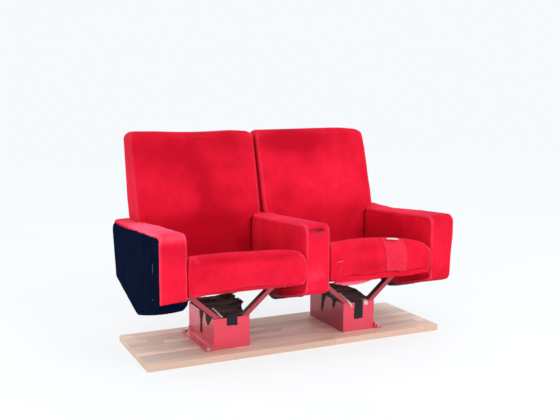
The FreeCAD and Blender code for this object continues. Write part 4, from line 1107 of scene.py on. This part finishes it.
def back_cover(unit):
    """Padded front of a backrest. Rings shrink from the front outline to its middle; their depth behind the
    leaning front face is a quarter circle of the distance to the sides and the top, and the rim runs back to
    the shell."""
    quarter = np.linspace(0, math.pi / 2, 20)
    rim, faces = 26, 56
    near = 1 - (0.036 / WING_REACH) * (1 - np.sin(quarter))
    share = np.concatenate([np.linspace(0, near[0], faces, endpoint=False), near, np.ones(rim - 1)])
    back = np.concatenate([np.zeros(faces + len(near)), np.linspace(0, 1, rim)[1:]])[:, None]
    side, up = back_rings(560, share)
    side_round, top_round, low_round = 0.015, 0.03, 0.022
    half = 0.287 + (up - WING) * 0.0219
    past_side = np.clip(1 - (half - np.abs(side)) / side_round, 0, 1) * (up > WING - 0.0001)
    past_low = np.clip(1 - (BETWEEN - np.abs(side)) / low_round, 0, 1) * fade(up, 0.492, 0.5272)
    past_top = np.clip(1 - (BACK_TOP - 0.001 - up) / top_round, 0, 1)
    depth = np.maximum(arc(past_side, side_round), arc(past_top, top_round))
    depth = np.maximum(depth, arc(past_low, low_round))
    corner = np.sqrt(past_side ** 2 + past_top ** 2)
    depth = depth + 0.01 * np.clip(corner - np.maximum(past_side, past_top), 0, 1)
    behind = bent(up, BACK_FRONT, FRONT_LEAN) + 0.0015 + 0.01 * fade(up, 0.47, 0.56) + depth
    behind = behind + back * (bent(up, BACK_REAR, REAR_LEAN) - SHELL - behind)
    middle = np.clip(1 - (side / 0.27) ** 2, 0, 1) * smooth(up, BACK_LOW, 0.46) * fade(up, 0.72, 0.9)
    behind = behind - (1 - back) * chosen("shape").back_fullness * middle
    points = np.stack([side, behind, up], axis=-1)
    _, y, z = axes(points)
    z += smooth(up, BACK_TOP - 0.06, BACK_TOP) * 0.0008 * ripple(points, 0.12, 41 + len(unit))
    y -= (1 - back) * (0.0016 * ripple(points, 0.16, 45 + len(unit)) + 0.0005 * ripple(points, 0.05, 47))
    last = points[-1]
    close = last.mean(axis=0) + (last - last.mean(axis=0)) * np.linspace(1, 0, 20)[1:, None, None]
    return skin(f"back_cover_{unit}", settle_back(unit, np.concatenate([points, close])))


def shell_cover(unit):
    """Velvet-covered shell behind the pad: the same outline between the pad and the rear face, rounded over
    at the rear."""
    quarter = np.linspace(0, math.pi / 2, 10)
    edge, start, rim, faces = 0.012, 20, 8, 44
    near = 1 - (edge / WING_REACH) * (1 - np.cos(quarter))
    share = np.concatenate([np.linspace(0, 1, start), np.ones(rim - 1), near[1:],
                            np.linspace(near[-1], 0, faces)[1:]])
    depth = np.concatenate([np.zeros(start), np.linspace(0, SHELL - edge, rim)[1:],
                            SHELL - edge + edge * np.sin(quarter[1:]), np.full(faces - 1, SHELL)])[:, None]
    side, up = back_rings(460, share)
    points = np.stack([side, bent(up, BACK_REAR, REAR_LEAN) - SHELL + depth, up], axis=-1)
    points[..., 1] += 0.0008 * ripple(points, 0.14, 51 + len(unit)) * (depth > 0.02)
    return skin(f"shell_cover_{unit}", settle_back(unit, points))


class SEAT_OT_backs(bpy.types.Operator):
    """Builds the two padded backrests and their covered shells"""
    bl_idname = "seat.backs"
    bl_label = "Backrests"

    def execute(self, context):
        left, right = MIDDLES["left"], MIDDLES["right"]
        details = {
            # left: painted shade low on the back between the armrests, behind the cushion; the others darken
            # patches higher up
            "left": dict(shift=(0.6, 0.0, 3.0), cloud=4.2, base=-0.16,
                         shades=[((left, 0.2, 0.44), (0.4, None, 0.18), 0.85),
                                 ((left - 0.16, 0.28, 0.8), (0.3, None, 0.16), 0.55),
                                 ((left + 0.02, 0.25, 0.62), (0.1, None, 0.22), 0.3),
                                 ((left + 0.15, 0.28, 0.85), (0.16, None, 0.07), 0.35)]),
            "right": dict(shift=(4.6, 1.0, 6.0), cloud=3.6, base=-0.08,
                          shades=[((right - 0.12, 0.29, 0.85), (0.28, None, 0.09), 0.95),
                                  ((right - 0.05, 0.28, 0.78), (0.1, None, 0.09), 0.4),
                                  ((right - 0.19, 0.24, 0.6), (0.09, None, 0.1), 0.35)],
                          lights=[((right + 0.05, 0.26, 0.68), (0.3, None, 0.2), 0.35)]),
        }
        for unit in UNITS:
            cover, shell = back_cover(unit), shell_cover(unit)
            add_edges(cover, 8, 34, 4)
            add_edges(shell, 20, 80)
            dress(cover, "frame", velvet(f"velvet_back_{unit}", pale=0.14, **details[unit]),
                  [f"back_pad_{unit}"])
            dress(shell, "frame", velvet(f"velvet_shell_{unit}", shift=(8.0, unit == "left", 0.0)),
                  [f"back_shell_{unit}"])
        return {"FINISHED"}


def sides_of(unit):
    """Names of a pedestal box's two sides."""
    return [f"pedestal_side_{unit}_outer", f"pedestal_side_{unit}_inner"]


def dust_cover(unit):
    """Worn cloth over a pedestal's open top: its front runs between the struts and steps back behind them, a
    fold crosses it, and its free side and rear lift off the box with a torn edge."""
    low, _ = extent(f"dust_cloth_{unit}")
    top = low[2]
    share, run = np.meshgrid(np.linspace(-1, 1, 84), np.linspace(0, 1, 110))
    flat = np.stack([share * 0.08, run * 0.3, share * 0], axis=-1)
    tear, fine = ripple(flat, 0.035, 91 + len(unit)), ripple(flat, 0.009, 95 + len(unit))
    free = smooth(share, 0.55, 1.0) * smooth(run, 0.25, 0.45)
    loose = 1.0 if unit == "left" else 0.25
    across = share * 0.0795 + free * (0.029 + 0.008 * tear + 0.003 * fine) * loose
    front = -0.1435 + 0.031 * smooth(np.abs(share), 0.56, 0.64)
    behind = front + run * (0.15 - front) + 0.002 * fine * (1 - run) ** 6
    up = top + 0.0012 + 0.0016 * (1 + ripple(np.stack([across, behind, behind * 0], axis=-1), 0.07, 97))
    up = up + free * (0.006 + 0.01 * smooth(share, 0.8, 1.0) + 0.004 * tear) * loose
    spike = np.exp(-((behind + 0.035) / 0.022) ** 2) * smooth(share, 0.8, 1.0) * loose
    across, up = across + spike * 0.006, up + spike * 0.012
    up = up + smooth(run, 0.75, 1.0) * (0.013 + 0.002 * tear)
    line = (across * 0.2 + behind - 0.036) / 0.02
    up = up + 0.0035 * (1 + np.tanh(line * 2.2)) * 0.5 + 0.0016 * np.exp(-line ** 2)
    rim = (np.abs(across) > 0.07) & (free < 0.02)
    up = np.where(rim, np.maximum(up - 0.001, top + 0.0009), up)
    points = np.stack([across + MIDDLES[unit], behind, up], axis=-1)
    return declared(sheet_of(f"dust_cover_{unit}", points, 0.0012), points)

class SEAT_OT_dressing(bpy.types.Operator):
    """Builds the dust covers, tape, torn scraps and foam strips on the pedestals"""
    bl_idname = "seat.dressing"
    bl_label = "Pedestal covers"

    def execute(self, context):
        cloth = woven("black_dust_cloth", (0.012, 0.011, 0.014), 700.0, 0.9, 0.25)
        tape = woven("black_cloth_tape", (0.01, 0.012, 0.016), 1500.0, 0.72, 0.15)
        foam = woven("cream_foam", (0.66, 0.55, 0.44), 2400.0, 0.9, 0.2)
        for unit in UNITS:
            dress(dust_cover(unit), "frame", cloth, [f"dust_cloth_{unit}"])
        face = -0.1487
        strips = [
            ("tape_left", tape, (1, 0, 0), 0.0011, 70, [0.047, 0.047, 0.047, 0.045, 0.041, 0.036, 0.03],
             [(-0.3, face, 0.1215), (-0.3, face, 0.14), (-0.3, face - 0.0002, 0.156), (-0.3, -0.147, 0.168),
              (-0.3, -0.138, 0.1735), (-0.3, -0.128, 0.17), (-0.3, -0.122, 0.1615)]),
            ("tape_right", tape, (1, 0, 0.03), 0.001, 70, [0.036, 0.038, 0.04, 0.043, 0.044, 0.043],
             [(0.299, -0.118, 0.16), (0.299, -0.136, 0.16), (0.299, -0.148, 0.1595),
              (0.299, face - 0.0008, 0.148), (0.299, face - 0.0004, 0.11), (0.2985, face, 0.08)]),
            ("scrap_left_long", cloth, (0, 1, 0.02), 0.0008, 60, [0.046, 0.04, 0.02, 0.018, 0.024, 0.018],
             [(-0.3797, 0.002, 0.16), (-0.3801, 0.002, 0.145), (-0.3799, 0.002, 0.11),
              (-0.3801, 0.004, 0.08), (-0.3799, 0.004, 0.058)]),
            ("scrap_left_short", cloth, (0, 1, 0.05), 0.0008, 44, [0.074, 0.062, 0.044, 0.016],
             [(-0.3797, -0.086, 0.158), (-0.3801, -0.086, 0.148), (-0.38, -0.078, 0.135),
              (-0.3799, -0.079, 0.1165)]),
            ("scrap_right_long", cloth, (0, 1, 0.03), 0.0008, 50, [0.04, 0.024, 0.016, 0.012],
             [(0.2203, 0.03, 0.156), (0.2199, 0.031, 0.145), (0.2201, 0.037, 0.12), (0.22, 0.045, 0.078)]),
            ("scrap_right_short", cloth, (0, 1, 0.05), 0.0008, 44, [0.044, 0.024, 0.018, 0.02],
             [(0.2203, -0.068, 0.156), (0.2199, -0.068, 0.148), (0.22, -0.063, 0.134),
              (0.22, -0.06, 0.1175)]),
            ("foam_strip_left", foam, (0.64, 0, 0.77), 0.0022, 40, [0.006, 0.007, 0.006],
             [(-0.37, -0.113, 0.1925), (-0.356, -0.128, 0.176), (-0.344, -0.146, 0.16)]),
            ("foam_strip_right", foam, (0.64, 0, 0.77), 0.0022, 50, [0.006, 0.006, 0.007, 0.009, 0.008],
             [(0.2195, -0.113, 0.195), (0.234, -0.128, 0.179), (0.248, -0.148, 0.1605),
              (0.256, -0.15, 0.152), (0.266, -0.1497, 0.135)]),
            ("foam_flap_right", foam, (1, 0, 0), 0.002, 36, [0.018, 0.02, 0.021, 0.018],
             [(0.333, -0.13, 0.159), (0.3335, -0.148, 0.159), (0.334, -0.1498, 0.15),
              (0.3345, -0.1496, 0.138)]),
        ]
        for number, (name, material, way, thick, count, widths, spots) in enumerate(strips):
            kind, unit = name.split("_")[:2]
            rests = {"tape": [f"pedestal_front_{unit}"], "scrap": sides_of(unit), "foam": None}[kind]
            strip = ribbon(name, spots, widths, way, thick, count, 11, 0.0018, seed=101 + number, rests=rests)
            dress(strip, "frame", material)
        return {"FINISHED"}


# ---------------------------------------------------------------- carried-over parts

class SEAT_OT_metal(bpy.types.Operator):
    """Gives the board, pedestals, brackets and fasteners their finishes"""
    bl_idname = "seat.metal"
    bl_label = "Board and metalwork"

    def execute(self, context):
        slots = {part["node"]: part["material_slot"] for part in frame["record"]["subparts"]}
        finishes = {
            "board_wood": board_wood(), "red_paint": red_metal(), "timber": core_timber(),
            "nylon": moulded("natural_nylon", (0.72, 0.71, 0.66), 0.4),
            "rubber": moulded("black_rubber", (0.02, 0.02, 0.02), 0.65),
            "dark_steel": dark_steel(), "zinc_steel": zinc(), "struts": red_metal("strut_red", struts=True),
        }
        slots.update({name: "struts" for name in slots if name.startswith("front_strut")})
        for name, thing in frame["nodes"].items():
            if slots[name] in finishes:
                coat(thing, finishes[slots[name]])
        return {"FINISHED"}


# ---------------------------------------------------------------- stage

class SEAT_OT_stage(bpy.types.Operator):
    """Builds the pale floor, the lamps and the camera"""
    bl_idname = "seat.stage"
    bl_label = "Stage"

    def execute(self, context):
        scene = context.scene
        ground = np.linspace(-9, 9, 37)
        points = np.stack(np.broadcast_arrays(ground[None, :], ground[:, None], -0.0005), axis=-1)
        floor = skin("floor", points, closed=False)
        f = Finish("pale_floor")
        cloud = f.noise(1.4, 3.0)
        colour = f.mix((0.93, 0.95, 0.96), (0.97, 0.975, 0.98), cloud.step(0.3, 0.7))
        f.done(Base_Color=colour, Roughness=cloud.step(0.3, 0.7, 0.55, 0.7))
        glow = f.node("ShaderNodeEmission", None, {"Color": (0.945, 0.985, 1.0)})
        f.show("Material Output", glow, f.node("ShaderNodeLightPath", output="Is Camera Ray") * 0.72)
        coat(floor, f.material)

        scene.world = bpy.data.worlds.new("room")
        scene.world.use_nodes = True
        room = Nodes(scene.world.node_tree)
        light = room.tree.nodes["Background"].inputs
        room.feed(light["Color"], (0.95, 0.975, 1.0))
        room.feed(light["Strength"], chosen("studio").room)
        seen = room.node("ShaderNodeBackground", None, {"Color": (0.92, 0.955, 0.985), "Strength": 1.0})
        camera_ray, glossy_ray = (room.node("ShaderNodeLightPath", output=f"Is {kind} Ray")
                                  for kind in ("Camera", "Glossy"))
        room.show("World Output", seen, camera_ray.math("MAXIMUM", glossy_ray))

        for name, watts, size, place, aim in (
                ("key", chosen("studio").key, 2.4, (1.6, -3.2, 2.7), (0.0, 0.0, 0.45)),
                ("side", chosen("studio").side, 1.8, (-3.0, -0.9, 1.7), (-0.2, 0.0, 0.45))):
            lamp = bpy.data.lights.new(name, "AREA")
            lamp.shape, lamp.size, lamp.energy = "DISK", size, watts
            across, behind, up = np.array(aim) - np.array(place)
            self.put(scene, name, lamp, place, (math.atan2(math.hypot(across, behind), -up), 0,
                                                math.atan2(behind, across) - math.pi / 2))

        camera = bpy.data.cameras.new("camera")
        camera.lens, camera.sensor_width = chosen("studio").focal, 36
        camera.clip_start, camera.clip_end = 0.05, 60
        turns = tuple(math.radians(angle) for angle in (82.17, -0.15, -25.35))
        scene.camera = self.put(scene, "camera", camera, (-1.4534, -3.0337, 1.0231), turns)
        scene.view_settings.view_transform = "Standard"
        return {"FINISHED"}

    def put(self, scene, name, data, place, turns):
        """Adds a lamp or the camera to the scene."""
        thing = bpy.data.objects.new(name, data)
        scene.collection.objects.link(thing)
        thing.location, thing.rotation_euler = place, turns
        return thing


STEPS = (SEAT_OT_stage, SEAT_OT_metal, SEAT_OT_arms, SEAT_OT_cushions, SEAT_OT_backs, SEAT_OT_dressing)
GROUPS = {"velvet": SEAT_PG_velvet, "shape": SEAT_PG_shape, "base": SEAT_PG_base, "studio": SEAT_PG_studio}


class SEAT_PT_panel(bpy.types.Panel):
    """Sizes, colours and steps of the seat pair"""
    bl_label = "Seats"
    bl_idname = "SEAT_PT_panel"
    bl_space_type = "VIEW_3D"
    bl_region_type = "UI"
    bl_category = "Seats"

    def draw(self, context):
        for name, group in GROUPS.items():
            box = self.layout.box()
            for key in group.__annotations__:
                box.prop(chosen(name), key)
        for step in STEPS:
            self.layout.operator(step.bl_idname)


def register():
    """Makes the add-on's classes and the scene's property groups known."""
    for kind in (*GROUPS.values(), *STEPS, SEAT_PT_panel):
        bpy.utils.register_class(kind)
    for name, group in GROUPS.items():
        setattr(bpy.types.Scene, f"seat_{name}", PointerProperty(type=group))


def unregister():
    """Takes them out again."""
    for name in GROUPS:
        delattr(bpy.types.Scene, f"seat_{name}")
    for kind in reversed((*GROUPS.values(), *STEPS, SEAT_PT_panel)):
        bpy.utils.unregister_class(kind)


def main():
    """Runs the steps in order."""
    register()
    for step in STEPS:
        family, action = step.bl_idname.split(".")
        getattr(getattr(bpy.ops, family), action)()


if __name__ == "__main__":
    main()
